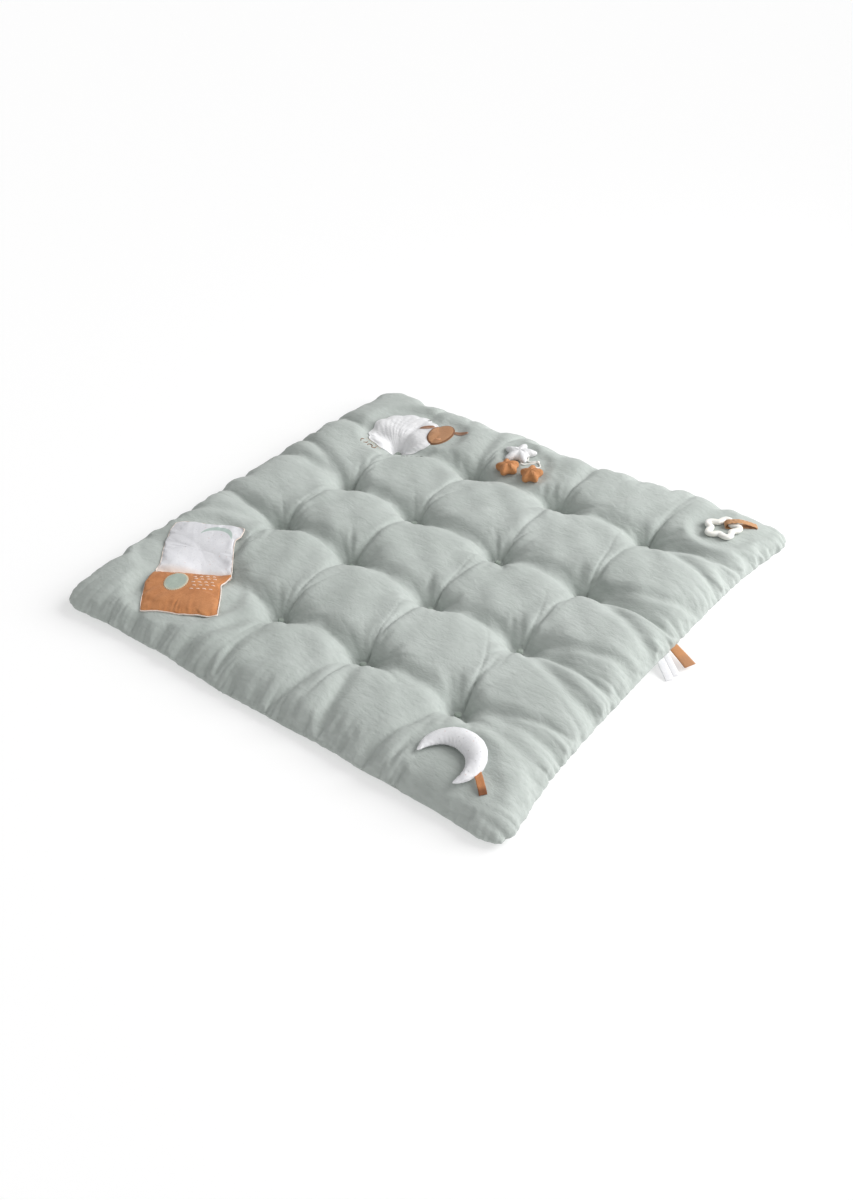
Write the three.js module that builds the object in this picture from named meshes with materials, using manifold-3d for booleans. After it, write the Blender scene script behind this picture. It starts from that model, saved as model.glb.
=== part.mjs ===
// A tufted baby play mat with sewn-on toys, lying flat on z = 0. Millimetres, +Z up.
// +X runs along the near rim, +Y runs to the back rim, and the origin is under the middle of the mat.
import * as THREE from 'three';
import { mergeVertices } from 'three/addons/utils/BufferGeometryUtils.js';
import Module from 'manifold-3d';

const wasm = await Module();
wasm.setup();

// The mat is five fifths wide, and its tufts stand one fifth apart.
const matSide = 1000;
const fifths = 5;
const fifth = matSide / fifths;
const cornerRadius = 46;
const crownHeight = 53;
const seamHeight = 17;
const shoulderRun = 92;
const shoulderPower = 2.3;
const pitFloor = 15;
const underRun = 24;
const underDimple = 6;
const knotRadius = 6.5;
const knotHeight = 6;
const knotFoot = 1.5;
const clearance = 0.3;

// How the tufts pull the top cloth down: a narrow neck in a wide bowl.
const pit = { neckDepth: 17, neckRun: 15, bowlDepth: 13, bowlRun: 52 };

// The hollows that join the tufts: wide valleys along the rows, and thin creases across them.
const valley = { depth: 9, width: 26 };
const crease = { depth: 7, run: 15 };

// Where the rims and the tufts lie, a row of the lattice at a time from the near rim to the back.
// The first and last row, and the first and last place in each row, are on the rim.
const lattice = [
  { row: 'near rim', x: [-486, -327, -135, 67, 279, 504], y: [-499, -496, -493, -490, -489, -484] },
  { row: 'tufts 1', x: [-527, -327, -135, 67, 279, 488], y: [-283, -283, -298, -300, -300, -292] },
  { row: 'tufts 2', x: [-535, -332, -144, 63, 266, 481], y: [-88, -83, -89, -101, -97, -95] },
  { row: 'tufts 3', x: [-540, -322, -140, 75, 273, 479], y: [108, 111, 105, 100, 104, 110] },
  { row: 'tufts 4', x: [-536, -339, -138, 72, 280, 480], y: [300, 296, 306, 314, 322, 322] },
  { row: 'back rim', x: [-520, -338, -135, 72, 282, 495], y: [495, 496, 511, 514, 538, 506] },
];

// Long folds in the top cloth: from (fromX, fromY) to (toX, toY), how deep and how wide.
const folds = [
  { fromX: 290, fromY: -290, toX: 470, toY: -250, depth: 7, width: 13 },
  { fromX: 290, fromY: -310, toX: 470, toY: -345, depth: 6, width: 15 },
  { fromX: 285, fromY: -110, toX: 468, toY: -190, depth: 8, width: 14 },
  { fromX: 285, fromY: -97, toX: 465, toY: -120, depth: 9, width: 12 },
  { fromX: 280, fromY: -80, toX: 462, toY: -40, depth: 8, width: 13 },
  { fromX: 290, fromY: 95, toX: 462, toY: 25, depth: 9, width: 13 },
  { fromX: 292, fromY: 104, toX: 462, toY: 90, depth: 10, width: 13 },
  { fromX: 290, fromY: 118, toX: 464, toY: 170, depth: 8, width: 14 },
  { fromX: 298, fromY: 312, toX: 466, toY: 262, depth: 8, width: 14 },
  { fromX: 300, fromY: 325, toX: 466, toY: 342, depth: 7, width: 14 },
  { fromX: -318, fromY: -300, toX: -400, toY: -470, depth: 6, width: 16 },
  { fromX: -135, fromY: -315, toX: -205, toY: -478, depth: 7, width: 15 },
  { fromX: -130, fromY: -315, toX: -110, toY: -478, depth: 6, width: 14 },
  { fromX: 60, fromY: -318, toX: 20, toY: -476, depth: 7, width: 15 },
  { fromX: 78, fromY: -318, toX: 128, toY: -478, depth: 6, width: 15 },
  { fromX: 270, fromY: -318, toX: 230, toY: -474, depth: 6, width: 15 },
  { fromX: -345, fromY: -83, toX: -520, toY: -62, depth: 8, width: 15 },
  { fromX: -340, fromY: -95, toX: -515, toY: -160, depth: 5, width: 16 },
  { fromX: -335, fromY: 115, toX: -524, toY: 190, depth: 8, width: 15 },
  { fromX: -350, fromY: 300, toX: -522, toY: 322, depth: 5, width: 15 },
  { fromX: -145, fromY: 322, toX: -190, toY: 490, depth: 5, width: 15 },
  { fromX: 75, fromY: 330, toX: 60, toY: 495, depth: 5, width: 15 },
];

// How strongly each rim is gathered, in millimetres of swell, and how far in the gathers fade.
const gathers = { near: 2.6, right: 4.2, back: 1.5, left: 1.8, fadeRun: 34 };

// Book: two padded leaves of about 150 mm that meet at the spine. Each outline starts with the points
// of the spine, from its left end to its right end, and comes back by the far side.
const spinePoints = 4;
const leafEdgeHeight = 3;
const leafPuff = 5;
const underPuff = 0.15;
const edgingWidth = 2.4;
const whiteLeaf = [
  [-399.9, -367.3], [-358, -341.9], [-314, -315.3], [-270, -288.6],
  [-290, -265], [-313, -241], [-332, -219], [-346, -203],
  [-343, -192], [-346, -178], [-356, -168], [-372, -169],
  [-390, -171], [-420, -184], [-452, -200], [-482, -218],
  [-492, -229], [-486, -249], [-472, -271], [-452, -298],
  [-432, -322], [-414, -345],
];
const rustLeaf = [
  [-399.3, -368.5], [-357, -342.9], [-313, -316.2], [-270, -290.2],
  [-264, -299], [-262, -316], [-258, -330], [-246, -343],
  [-232, -357], [-217, -375], [-201, -393], [-203, -402],
  [-224, -416], [-246, -428], [-272, -442], [-300, -455],
  [-326, -473], [-342, -459], [-360, -438], [-375, -420],
  [-388, -402], [-399, -380],
];
const cloudPatch = { x: -334.5, y: -375, longHalf: 27, shortHalf: 25, turn: 93, thickness: 1.2 };

// Sheep: places are on its own axes, which are turned on the mat about the middle of the body.
const sheep = { x: -352, y: 333, turn: 40 };
const fleece = { longHalf: 82, shortHalf: 76, scallops: 12, scallopDepth: 0.07, thickness: 2.4 };
const sheepHead = { along: 82.6, up: -14.7, longHalf: 40, shortHalf: 26, turn: 52, thickness: 3 };
const sheepEars = [
  { name: 'sheep_ear_left', along: 53.6, up: 11.8, longHalf: 18, shortHalf: 5.5, turn: -4 },
  { name: 'sheep_ear_right', along: 125.7, up: -16.7, longHalf: 19, shortHalf: 5.5, turn: -26 },
];

// Stuffed stars that hang from one knot.
const starSink = 3.5;
const stars = [
  { name: 'star_white', x: -89, y: 408, radius: 28.5, half: 10, turn: 33, lean: 0, cloth: 'cream' },
  { name: 'star_rust_left', x: -78, y: 347, radius: 22.5, half: 12.5, turn: 60, lean: 6, cloth: 'rust' },
  { name: 'star_rust_right', x: -20, y: 351, radius: 22, half: 12.5, turn: 42, lean: -5, cloth: 'rust' },
];
const cordKnot = { x: -41, y: 407, radius: 4.5, height: 5 };

// Routes of the three cords, from the knot to the star that each one carries.
const cordRadius = 1.5;
const cordRoutes = [
  {
    name: 'cord_white',
    route: [
      [-46, 405.3, 55.4], [-47.5, 403, 55], [-49.1, 400.6, 54.9], [-51.1, 398.5, 54.8],
      [-53.5, 396.9, 54.7], [-56.1, 396.1, 54.7], [-58.7, 396.3, 54.7], [-60.9, 397.5, 54.7],
      [-62.5, 399.6, 54.9], [-63.5, 401.9, 55.5], [-63.8, 403.9, 56.3], [-64.1, 405.3, 57.2],
      [-64.3, 406.2, 58], [-64.4, 406.8, 58.6], [-64.5, 407.1, 59],
    ],
  },
  {
    name: 'cord_left',
    route: [
      [-42.7, 402.3, 55.4], [-43.9, 399.9, 55], [-45.4, 397.5, 54.9], [-47.2, 395.2, 54.9],
      [-49.1, 393, 54.8], [-51.1, 390.8, 54.8], [-53, 388.6, 54.7], [-54.8, 386.3, 54.7],
      [-56.5, 384, 54.9], [-58, 381.6, 55.4], [-59.4, 379.3, 56.3], [-60.6, 377.2, 57.5],
      [-61.6, 375.6, 58.8], [-62.4, 374.3, 59.9], [-62.9, 373.4, 60.7],
    ],
  },
  {
    name: 'cord_right',
    route: [
      [-37, 404, 55.5], [-34.6, 402.4, 55.4], [-32.1, 400.7, 55.3], [-29.8, 398.8, 55.3],
      [-27.9, 396.6, 55.3], [-26.6, 394.1, 55.3], [-26, 391.4, 55.3], [-26.1, 388.7, 55.4],
      [-26.9, 386.2, 55.8], [-27.9, 384, 56.8], [-28.9, 382.2, 58], [-29.8, 380.7, 59.2],
      [-30.5, 379.5, 60.2], [-31, 378.7, 61], [-31.3, 378.1, 61.5],
    ],
  },
];

// Hard star ring: five arms on a closed wavy limb, and the tape that loops round the limb.
const starRing = {
  x: 381,
  y: 441,
  armRadius: 36,
  notchRadius: 25,
  limbHalf: 5.6,
  half: 4.6,
  bevel: 2,
  turn: 20,
  lean: -3,
};
const ringTape = { x: 395, y: 461.7, turn: 38, width: 15, thickness: 1.3, toMat: 50, gap: 0.6 };

// Stuffed crescent moon on a circle of the given radius, from one tip to the other.
const moon = { x: 357, y: -422, outer: 58, widest: 18, half: 13, fromTurn: -52, toTurn: 204 };
const moonSink = 5;
const moonTape = { fromX: 401, fromY: -418, toX: 440, toY: -449, width: 13.5, thickness: 1.8, arch: 5 };

// Strips that are sewn into the right rim and hang out over the floor, with their root, tip and sizes.
const rimStrips = [
  { name: 'tape_tab', root: [466, 91], tip: [523, 67], width: 20, tipWidth: 25, thickness: 2.4, tipZ: 8 },
  { name: 'label_left', root: [458, 55], tip: [511, 17], width: 16, tipWidth: 17, thickness: 1, tipZ: 1.4 },
  { name: 'label_right', root: [460, 72], tip: [514, 34], width: 13, tipWidth: 14, thickness: 1, tipZ: 1.8 },
];

const finishes = {
  sage: { color: 0xb9c0b8, roughness: 0.95, metalness: 0 },
  sageDark: { color: 0xaab2aa, roughness: 0.95, metalness: 0 },
  cream: { color: 0xececeb, roughness: 0.95, metalness: 0 },
  rust: { color: 0xbe8255, roughness: 0.92, metalness: 0 },
  brown: { color: 0xb2876a, roughness: 0.92, metalness: 0 },
  green: { color: 0xbfc6bd, roughness: 0.95, metalness: 0 },
  label: { color: 0xf4f4f2, roughness: 0.6, metalness: 0 },
  cord: { color: 0xf0eeea, roughness: 0.9, metalness: 0 },
  ring: { color: 0xf6f4ef, roughness: 0.45, metalness: 0 },
};

// A smooth value between b and c, with a and d on either side.
function between(a, b, c, d, part) {
  const slopeIn = (c - a) / 2;
  const slopeOut = (d - b) / 2;
  const square = part * part;
  const cube = square * part;
  return (2 * cube - 3 * square + 1) * b + (cube - 2 * square + part) * slopeIn
    + (3 * square - 2 * cube) * c + (cube - square) * slopeOut;
}

// A smooth curve through a list of values, read at a fractional place.
function along(values, place) {
  const last = values.length - 1;
  const step = Math.min(Math.floor(place), last - 1);
  const before = step > 0 ? values[step - 1] : 2 * values[0] - values[1];
  const after = step + 2 <= last ? values[step + 2] : 2 * values[last] - values[last - 1];
  return between(before, values[step], values[step + 1], after, place - step);
}

// Rounds the corners of the square lattice by drawing the places near them inwards.
function roundCorner(s, t) {
  const reach = cornerRadius / fifth;
  const sideS = s < fifths / 2 ? -1 : 1;
  const sideT = t < fifths / 2 ? -1 : 1;
  const outS = (s - fifths / 2) * sideS - (fifths / 2 - reach);
  const outT = (t - fifths / 2) * sideT - (fifths / 2 - reach);
  if (outS <= 0 || outT <= 0) return [s, t];
  const drawnS = outS * (1 - Math.sqrt(1 - (outT * outT) / (2 * reach * reach)));
  const drawnT = outT * (1 - Math.sqrt(1 - (outS * outS) / (2 * reach * reach)));
  return [s - sideS * drawnS, t - sideT * drawnT];
}

// The place on the floor of lattice place (s, t), each from 0 to 5.
function planPoint(s, t) {
  const [roundS, roundT] = roundCorner(s, t);
  const xs = lattice.map((line) => along(line.x, roundS));
  const ys = lattice.map((line) => along(line.y, roundS));
  return [along(xs, roundT), along(ys, roundT)];
}

// How far the cloth has risen from the seam to its full height, a run in from the rim.
function shoulder(run) {
  const left = 1 - Math.min(run / shoulderRun, 1);
  return Math.pow(1 - Math.pow(left, shoulderPower), 1 / shoulderPower);
}

function distanceToFold(fold, x, y) {
  const runX = fold.toX - fold.fromX;
  const runY = fold.toY - fold.fromY;
  const length = Math.hypot(runX, runY);
  const part = ((x - fold.fromX) * runX + (y - fold.fromY) * runY) / (length * length);
  const held = Math.min(Math.max(part, 0), 1);
  return Math.hypot(x - fold.fromX - held * runX, y - fold.fromY - held * runY);
}

// Uneven small waves along a rim, from -1 to 1, at a distance along it.
function ripple(distance) {
  return 0.5 * Math.sin(distance / 9.7)
    + 0.3 * Math.sin(distance / 15.1 + 2)
    + 0.2 * Math.sin(distance / 6.3 + 1);
}

// The swell of the gathers at a place, strongest at the seam.
function gatherSwell(s, t, x, y) {
  const fade = (run) => Math.exp(-run / gathers.fadeRun);
  return gathers.near * ripple(x) * fade(t * fifth)
    + gathers.right * ripple(y + 40) * fade((fifths - s) * fifth)
    + gathers.back * ripple(x + 70) * fade((fifths - t) * fifth)
    + gathers.left * ripple(y + 110) * fade(s * fifth);
}

function nearestLine(place) {
  return Math.min(Math.max(Math.round(place), 1), fifths - 1);
}

// Height of the top cloth over the floor at a lattice place that lies at (x, y).
function topHeight(s, t, x, y) {
  const runS = Math.min(s, fifths - s) * fifth;
  const runT = Math.min(t, fifths - t) * fifth;
  let loft = crownHeight;
  loft += 2.4 * Math.sin(1.7 * s + 2.3 * t) + 1.6 * Math.sin(3.1 * s - 1.9 * t + 1);
  const offX = Math.abs(s - nearestLine(s)) * fifth;
  const offY = Math.abs(t - nearestLine(t)) * fifth;
  const valleyShare = 0.7 + 0.3 * Math.min(runS / fifth, 1);
  loft -= valley.depth * Math.exp(-Math.pow(offY / valley.width, 2)) * valleyShare;
  loft -= crease.depth * Math.exp(-offX / crease.run) * Math.min(runT / fifth + 0.1, 1);
  for (let row = 1; row < fifths; row += 1) {
    for (let column = 1; column < fifths; column += 1) {
      const reach = Math.hypot(x - lattice[row].x[column], y - lattice[row].y[column]);
      const past = Math.max(reach - knotRadius - 1, 0);
      loft -= pit.neckDepth * Math.exp(-past / pit.neckRun);
      loft -= pit.bowlDepth * Math.exp(-past / pit.bowlRun);
    }
  }
  for (const fold of folds) {
    loft -= fold.depth * Math.exp(-Math.pow(distanceToFold(fold, x, y) / fold.width, 2));
  }
  const cornerSag = 1 - 0.3 * Math.exp(-(runS + runT) / 80);
  const rise = shoulder(runS) * shoulder(runT) * cornerSag;
  const height = seamHeight + (Math.max(loft, pitFloor) - seamHeight) * rise;
  return height + gatherSwell(s, t, x, y) * Math.min(rise * 3, 1);
}

// Height of the under cloth: flat on the floor, up to the seam at the rim, dimpled under the tufts.
function underHeight(s, t) {
  const run = Math.min(s, fifths - s, t, fifths - t) * fifth;
  const lift = seamHeight * Math.pow(Math.max(1 - run / underRun, 0), 2);
  const onTuft = Number.isInteger(s) && Number.isInteger(t) && run > fifth / 2;
  return onTuft ? underDimple : lift;
}

// Lattice lines, closer together at the rims and at the tufts.
const rimSteps = [0, 0.02, 0.05, 0.09, 0.15, 0.22, 0.32, 0.44, 0.57, 0.71, 0.84, 0.94];
const tuftSteps = [0, 0.04, 0.1, 0.18, 0.28, 0.39, 0.5, 0.61, 0.72, 0.82, 0.9, 0.96];
const linesPerFifth = rimSteps.length;
const underStep = 3;

function latticeLines() {
  const lines = [];
  for (let cell = 0; cell < fifths - 1; cell += 1) {
    const steps = cell === 0 ? rimSteps : tuftSteps;
    steps.forEach((step) => lines.push(cell + step));
  }
  lines.push(fifths - 1);
  [...rimSteps].reverse().forEach((step) => lines.push(fifths - step));
  return lines;
}

// The filled cushion: a fine grid of top cloth and a coarser one of under cloth, sewn at the rim.
function matGeometry() {
  const lines = latticeLines();
  const count = lines.length;
  const points = [];
  const faces = [];
  const topIndex = (i, j) => j * count + i;
  for (let j = 0; j < count; j += 1) {
    for (let i = 0; i < count; i += 1) {
      const [x, y] = planPoint(lines[i], lines[j]);
      points.push([x, y, topHeight(lines[i], lines[j], x, y)]);
    }
  }
  for (let j = 0; j + 1 < count; j += 1) {
    for (let i = 0; i + 1 < count; i += 1) {
      const corners = [topIndex(i, j), topIndex(i + 1, j), topIndex(i + 1, j + 1), topIndex(i, j + 1)];
      const slant = (i + j) % 2;
      faces.push([corners[0], corners[1], corners[2 + slant]]);
      faces.push([corners[slant], corners[2], corners[3]]);
    }
  }
  const onRim = (i, j) => i === 0 || j === 0 || i === count - 1 || j === count - 1;
  const underPoints = new Map();
  const underIndex = (i, j) => {
    if (onRim(i, j)) return topIndex(i, j);
    const key = `${i} ${j}`;
    if (!underPoints.has(key)) {
      const [x, y] = planPoint(lines[i], lines[j]);
      underPoints.set(key, points.length);
      points.push([x, y, underHeight(lines[i], lines[j])]);
    }
    return underPoints.get(key);
  };
  for (let j = 0; j + 1 < count; j += underStep) {
    for (let i = 0; i + 1 < count; i += underStep) {
      const ring = cellRing(i, j, underStep, onRim).map(([a, b]) => underIndex(a, b));
      for (let k = 1; k + 1 < ring.length; k += 1) faces.push([ring[0], ring[k + 1], ring[k]]);
    }
  }
  return closedGeometry(points, faces);
}

// The corners of one cell of the under cloth, with the extra rim points that the top cloth has.
function cellRing(i, j, size, onRim) {
  const corners = [[i, j], [i + size, j], [i + size, j + size], [i, j + size]];
  const start = corners.findIndex(([a, b]) => !onRim(a, b));
  const ring = [];
  for (let k = 0; k < 4; k += 1) {
    const [a, b] = corners[(start + k) % 4];
    const [c, d] = corners[(start + k + 1) % 4];
    ring.push([a, b]);
    if (!onRim(a, b) || !onRim(c, d)) continue;
    for (let part = 1; part < size; part += 1) {
      ring.push([a + (Math.sign(c - a) * part), b + (Math.sign(d - b) * part)]);
    }
  }
  return ring;
}

function closedGeometry(points, faces) {
  const geometry = new THREE.BufferGeometry();
  geometry.setAttribute('position', new THREE.Float32BufferAttribute(points.flat(), 3));
  geometry.setIndex(faces.flat());
  return geometry;
}

function solidOf(geometry) {
  const bare = geometry.clone();
  bare.deleteAttribute('normal');
  bare.deleteAttribute('uv');
  const merged = mergeVertices(bare, 1e-4);
  return new wasm.Manifold(new wasm.Mesh({
    numProp: 3,
    vertProperties: new Float32Array(merged.attributes.position.array),
    triVerts: new Uint32Array(merged.index.array),
  }));
}

// The largest body of a cut solid, as a geometry again.
function geometryOf(solid) {
  const bodies = solid.decompose().sort((a, b) => b.volume() - a.volume());
  const mesh = bodies[0].getMesh();
  const geometry = new THREE.BufferGeometry();
  geometry.setAttribute('position', new THREE.Float32BufferAttribute(mesh.vertProperties, 3));
  geometry.setIndex(Array.from(mesh.triVerts));
  return geometry;
}

const part = new THREE.Group();

function addPiece(name, geometry, finish) {
  const piece = new THREE.Mesh(geometry, new THREE.MeshStandardMaterial(finishes[finish]));
  piece.name = name;
  part.add(piece);
  return piece;
}

const matCushion = addPiece('mat_cushion', matGeometry(), 'sage');

function matRaised(height) {
  return solidOf(matCushion.geometry.clone().translate(0, 0, height));
}

const matWithGap = matRaised(clearance);

// Height of the mat's top face at (x, y), or of the seam outside the rim.
const downward = new THREE.Raycaster();
function matTopAt(x, y) {
  downward.set(new THREE.Vector3(x, y, 200), new THREE.Vector3(0, 0, -1));
  const hits = downward.intersectObject(matCushion);
  return hits.length > 0 ? hits[0].point.z : seamHeight;
}

// A small domed knot at the bottom of each pit.
function knotGeometry() {
  const profile = [];
  const steps = 3;
  profile.push(new THREE.Vector2(0, 0));
  for (let step = 0; step <= steps; step += 1) {
    const angle = (step / steps) * (Math.PI / 2);
    const rise = knotFoot + (knotHeight - knotFoot) * Math.sin(angle);
    profile.push(new THREE.Vector2(knotRadius * Math.cos(angle), rise));
  }
  profile[profile.length - 1].x = 0;
  return new THREE.LatheGeometry(profile, 8);
}

for (let row = 1; row < fifths; row += 1) {
  for (let column = 1; column < fifths; column += 1) {
    const x = lattice[row].x[column];
    const y = lattice[row].y[column];
    const knot = knotGeometry().rotateX(Math.PI / 2).translate(x, y, matTopAt(x, y) - 1);
    addPiece(`tuft_knot_${row}${column}`, geometryOf(solidOf(knot).subtract(matWithGap)), 'sageDark');
  }
}

const degree = Math.PI / 180;

// A closed outline from a radius at each angle, turned and moved.
function roundOutline(count, radiusAt, place) {
  const points = [];
  for (let k = 0; k < count; k += 1) {
    const angle = (k / count) * 2 * Math.PI;
    const [a, b] = radiusAt(angle);
    const turn = place.turn * degree;
    points.push(new THREE.Vector2(
      place.x + a * Math.cos(turn) - b * Math.sin(turn),
      place.y + a * Math.sin(turn) + b * Math.cos(turn),
    ));
  }
  return points;
}

function prism(points) {
  const geometry = new THREE.ExtrudeGeometry(new THREE.Shape(points), { depth: 160, bevelEnabled: false });
  return solidOf(geometry.translate(0, 0, -20));
}

// A patch of cloth that follows the faces of what it is sewn to, just clear of them.
function patchOn(carrier, points, thickness) {
  const under = solidOf(carrier.clone().translate(0, 0, clearance));
  const over = solidOf(carrier.clone().translate(0, 0, clearance + thickness));
  return over.intersect(prism(points)).subtract(under);
}

const oval = (longHalf, shortHalf) => (angle) => [longHalf * Math.cos(angle), shortHalf * Math.sin(angle)];

// Sheep: fleece with a hole for the tuft, head and ears laid into the fleece's edge.
function sheepPlace(spot) {
  const turn = sheep.turn * degree;
  return {
    x: sheep.x + spot.along * Math.cos(turn) - spot.up * Math.sin(turn),
    y: sheep.y + spot.along * Math.sin(turn) + spot.up * Math.cos(turn),
    turn: sheep.turn + spot.turn,
  };
}

function fleeceRadius(angle) {
  const scallop = Math.abs(Math.sin((angle * fleece.scallops) / 2));
  const bump = 1 - fleece.scallopDepth * (1 - scallop);
  return [fleece.longHalf * bump * Math.cos(angle), fleece.shortHalf * bump * Math.sin(angle)];
}

const seamGap = 0.4;
const fleeceOutline = roundOutline(fleece.scallops * 4, fleeceRadius, sheep);
const headShape = (extra) => roundOutline(
  20,
  oval(sheepHead.longHalf + extra, sheepHead.shortHalf + extra),
  sheepPlace(sheepHead),
);
const earShape = (ear, extra) => roundOutline(
  12,
  oval(ear.longHalf + extra, ear.shortHalf + extra),
  sheepPlace(ear),
);
const knotHole = roundOutline(12, oval(knotRadius + 2, knotRadius + 2), {
  x: lattice[4].x[1],
  y: lattice[4].y[1],
  turn: 0,
});

let fleeceSolid = patchOn(matCushion.geometry, fleeceOutline, fleece.thickness).subtract(prism(knotHole));
fleeceSolid = fleeceSolid.subtract(prism(headShape(seamGap)));
for (const ear of sheepEars) {
  fleeceSolid = fleeceSolid.subtract(prism(earShape(ear, seamGap)));
  const earSolid = patchOn(matCushion.geometry, earShape(ear, 0), sheepHead.thickness);
  addPiece(ear.name, geometryOf(earSolid.subtract(prism(headShape(seamGap)))), 'brown');
}
addPiece('sheep_fleece', geometryOf(fleeceSolid), 'cream');
addPiece('sheep_head', geometryOf(patchOn(matCushion.geometry, headShape(0), sheepHead.thickness)), 'brown');

// Height that a padded leaf takes as it bridges the hollows of the mat.
function bridgedTop(x, y) {
  const reach = 36;
  const samples = 8;
  const here = matTopAt(x, y);
  let total = here;
  for (let k = 0; k < samples; k += 1) {
    const angle = (k / samples) * 2 * Math.PI;
    const there = matTopAt(x + reach * Math.cos(angle), y + reach * Math.sin(angle));
    total += Math.max(there, here - 12);
  }
  return Math.max(total / (samples + 1), here - 1);
}

// A padded leaf: rings drawn in from its outline, higher in the middle, flat underneath.
function leafGeometry(outline) {
  const middle = outline.reduce(([sumX, sumY], [x, y]) => [sumX + x, sumY + y], [0, 0])
    .map((sum) => sum / outline.length);
  const rings = [1, 0.94, 0.8, 0.5];
  const points = [];
  const ringStart = [];
  for (const side of [1, -1]) {
    for (const share of rings) {
      ringStart.push(points.length);
      for (const [edgeX, edgeY] of outline) {
        const x = middle[0] + share * (edgeX - middle[0]);
        const y = middle[1] + share * (edgeY - middle[1]);
        const puff = leafPuff * Math.sqrt(1 - share * share) * (side > 0 ? 1 : underPuff);
        const edgeZ = bridgedTop(x, y) + leafEdgeHeight / 2;
        points.push([x, y, edgeZ + side * (leafEdgeHeight / 2 + puff)]);
      }
    }
  }
  const crown = points.length;
  const centreZ = bridgedTop(middle[0], middle[1]) + leafEdgeHeight / 2;
  points.push([middle[0], middle[1], centreZ + leafEdgeHeight / 2 + leafPuff]);
  points.push([middle[0], middle[1], centreZ - leafEdgeHeight / 2 - leafPuff * underPuff]);
  const faces = [];
  const n = outline.length;
  const band = (from, to, flip) => {
    for (let k = 0; k < n; k += 1) {
      const next = (k + 1) % n;
      const quad = [from + k, from + next, to + next, to + k];
      if (flip) quad.reverse();
      faces.push([quad[0], quad[1], quad[2]], [quad[0], quad[2], quad[3]]);
    }
  };
  const count = rings.length;
  for (let ring = 0; ring + 1 < count; ring += 1) {
    band(ringStart[ring], ringStart[ring + 1], false);
    band(ringStart[count + ring], ringStart[count + ring + 1], true);
  }
  band(ringStart[count], ringStart[0], false);
  for (let k = 0; k < n; k += 1) {
    const next = (k + 1) % n;
    faces.push([ringStart[count - 1] + k, ringStart[count - 1] + next, crown]);
    faces.push([ringStart[2 * count - 1] + next, ringStart[2 * count - 1] + k, crown + 1]);
  }
  return closedGeometry(points, faces);
}

// A strip with an oblong section along a path. Its width lies level across the path, or along a
// given side where the path doubles back.
function stripGeometry(path, widths, thickness, givenSide) {
  const points = [];
  const faces = [];
  path.forEach((point, k) => {
    const before = path[Math.max(k - 1, 0)];
    const after = path[Math.min(k + 1, path.length - 1)];
    const ahead = new THREE.Vector3().subVectors(after, before).normalize();
    const side = givenSide ?? new THREE.Vector3(-ahead.y, ahead.x, 0).normalize();
    const upward = new THREE.Vector3().crossVectors(ahead, side);
    const half = widths[k] / 2;
    for (const [across, up] of [[-1, -1], [1, -1], [1, 1], [-1, 1]]) {
      const corner = point.clone().addScaledVector(side, across * half);
      points.push(corner.addScaledVector(upward, (up * thickness) / 2).toArray());
    }
  });
  for (let k = 0; k + 1 < path.length; k += 1) {
    for (let edge = 0; edge < 4; edge += 1) {
      const next = (edge + 1) % 4;
      const from = k * 4;
      const to = from + 4;
      faces.push([from + edge, from + next, to + next], [from + edge, to + next, to + edge]);
    }
  }
  const end = (path.length - 1) * 4;
  faces.push([0, 2, 1], [0, 3, 2], [end, end + 1, end + 2], [end, end + 2, end + 3]);
  return closedGeometry(points, faces);
}

// Book: two leaves cut clear of the mat, the pale edging round their free sides, and a cloud patch.
function cutClear(geometry) {
  return solidOf(geometry).subtract(matWithGap);
}

function edgingPath(outline) {
  const free = [...outline.slice(spinePoints - 1), outline[0]];
  return free.map(([x, y], k) => {
    const before = free[Math.max(k - 1, 0)];
    const after = free[Math.min(k + 1, free.length - 1)];
    const run = Math.hypot(after[0] - before[0], after[1] - before[1]);
    const out = edgingWidth / 2 + clearance;
    const outX = (outlineSign(outline) * (after[1] - before[1]) * out) / run;
    const outY = (-outlineSign(outline) * (after[0] - before[0]) * out) / run;
    return new THREE.Vector3(x + outX, y + outY, bridgedTop(x, y) + leafEdgeHeight / 2 + 0.2);
  });
}

// 1 for an outline that runs anticlockwise, -1 for one that runs clockwise.
function outlineSign(outline) {
  let doubled = 0;
  outline.forEach(([x, y], k) => {
    const [nextX, nextY] = outline[(k + 1) % outline.length];
    doubled += x * nextY - nextX * y;
  });
  return Math.sign(doubled);
}

const anticlockwise = (outline) => (outlineSign(outline) > 0 ? outline : [...outline].reverse());
const rustLeafPiece = geometryOf(cutClear(leafGeometry(anticlockwise(rustLeaf))));
addPiece('book_leaf_white', geometryOf(cutClear(leafGeometry(anticlockwise(whiteLeaf)))), 'cream');
addPiece('book_leaf_rust', rustLeafPiece, 'rust');
for (const [name, outline] of [['book_edging_white', whiteLeaf], ['book_edging_rust', rustLeaf]]) {
  const path = edgingPath(outline).slice(1, -1);
  const edging = stripGeometry(path, path.map(() => edgingWidth), leafEdgeHeight);
  addPiece(name, geometryOf(cutClear(edging)), 'cream');
}
const cloudOutline = roundOutline(20, oval(cloudPatch.longHalf, cloudPatch.shortHalf), cloudPatch);
addPiece('book_cloud', geometryOf(patchOn(rustLeafPiece, cloudOutline, cloudPatch.thickness)), 'green');

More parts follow.
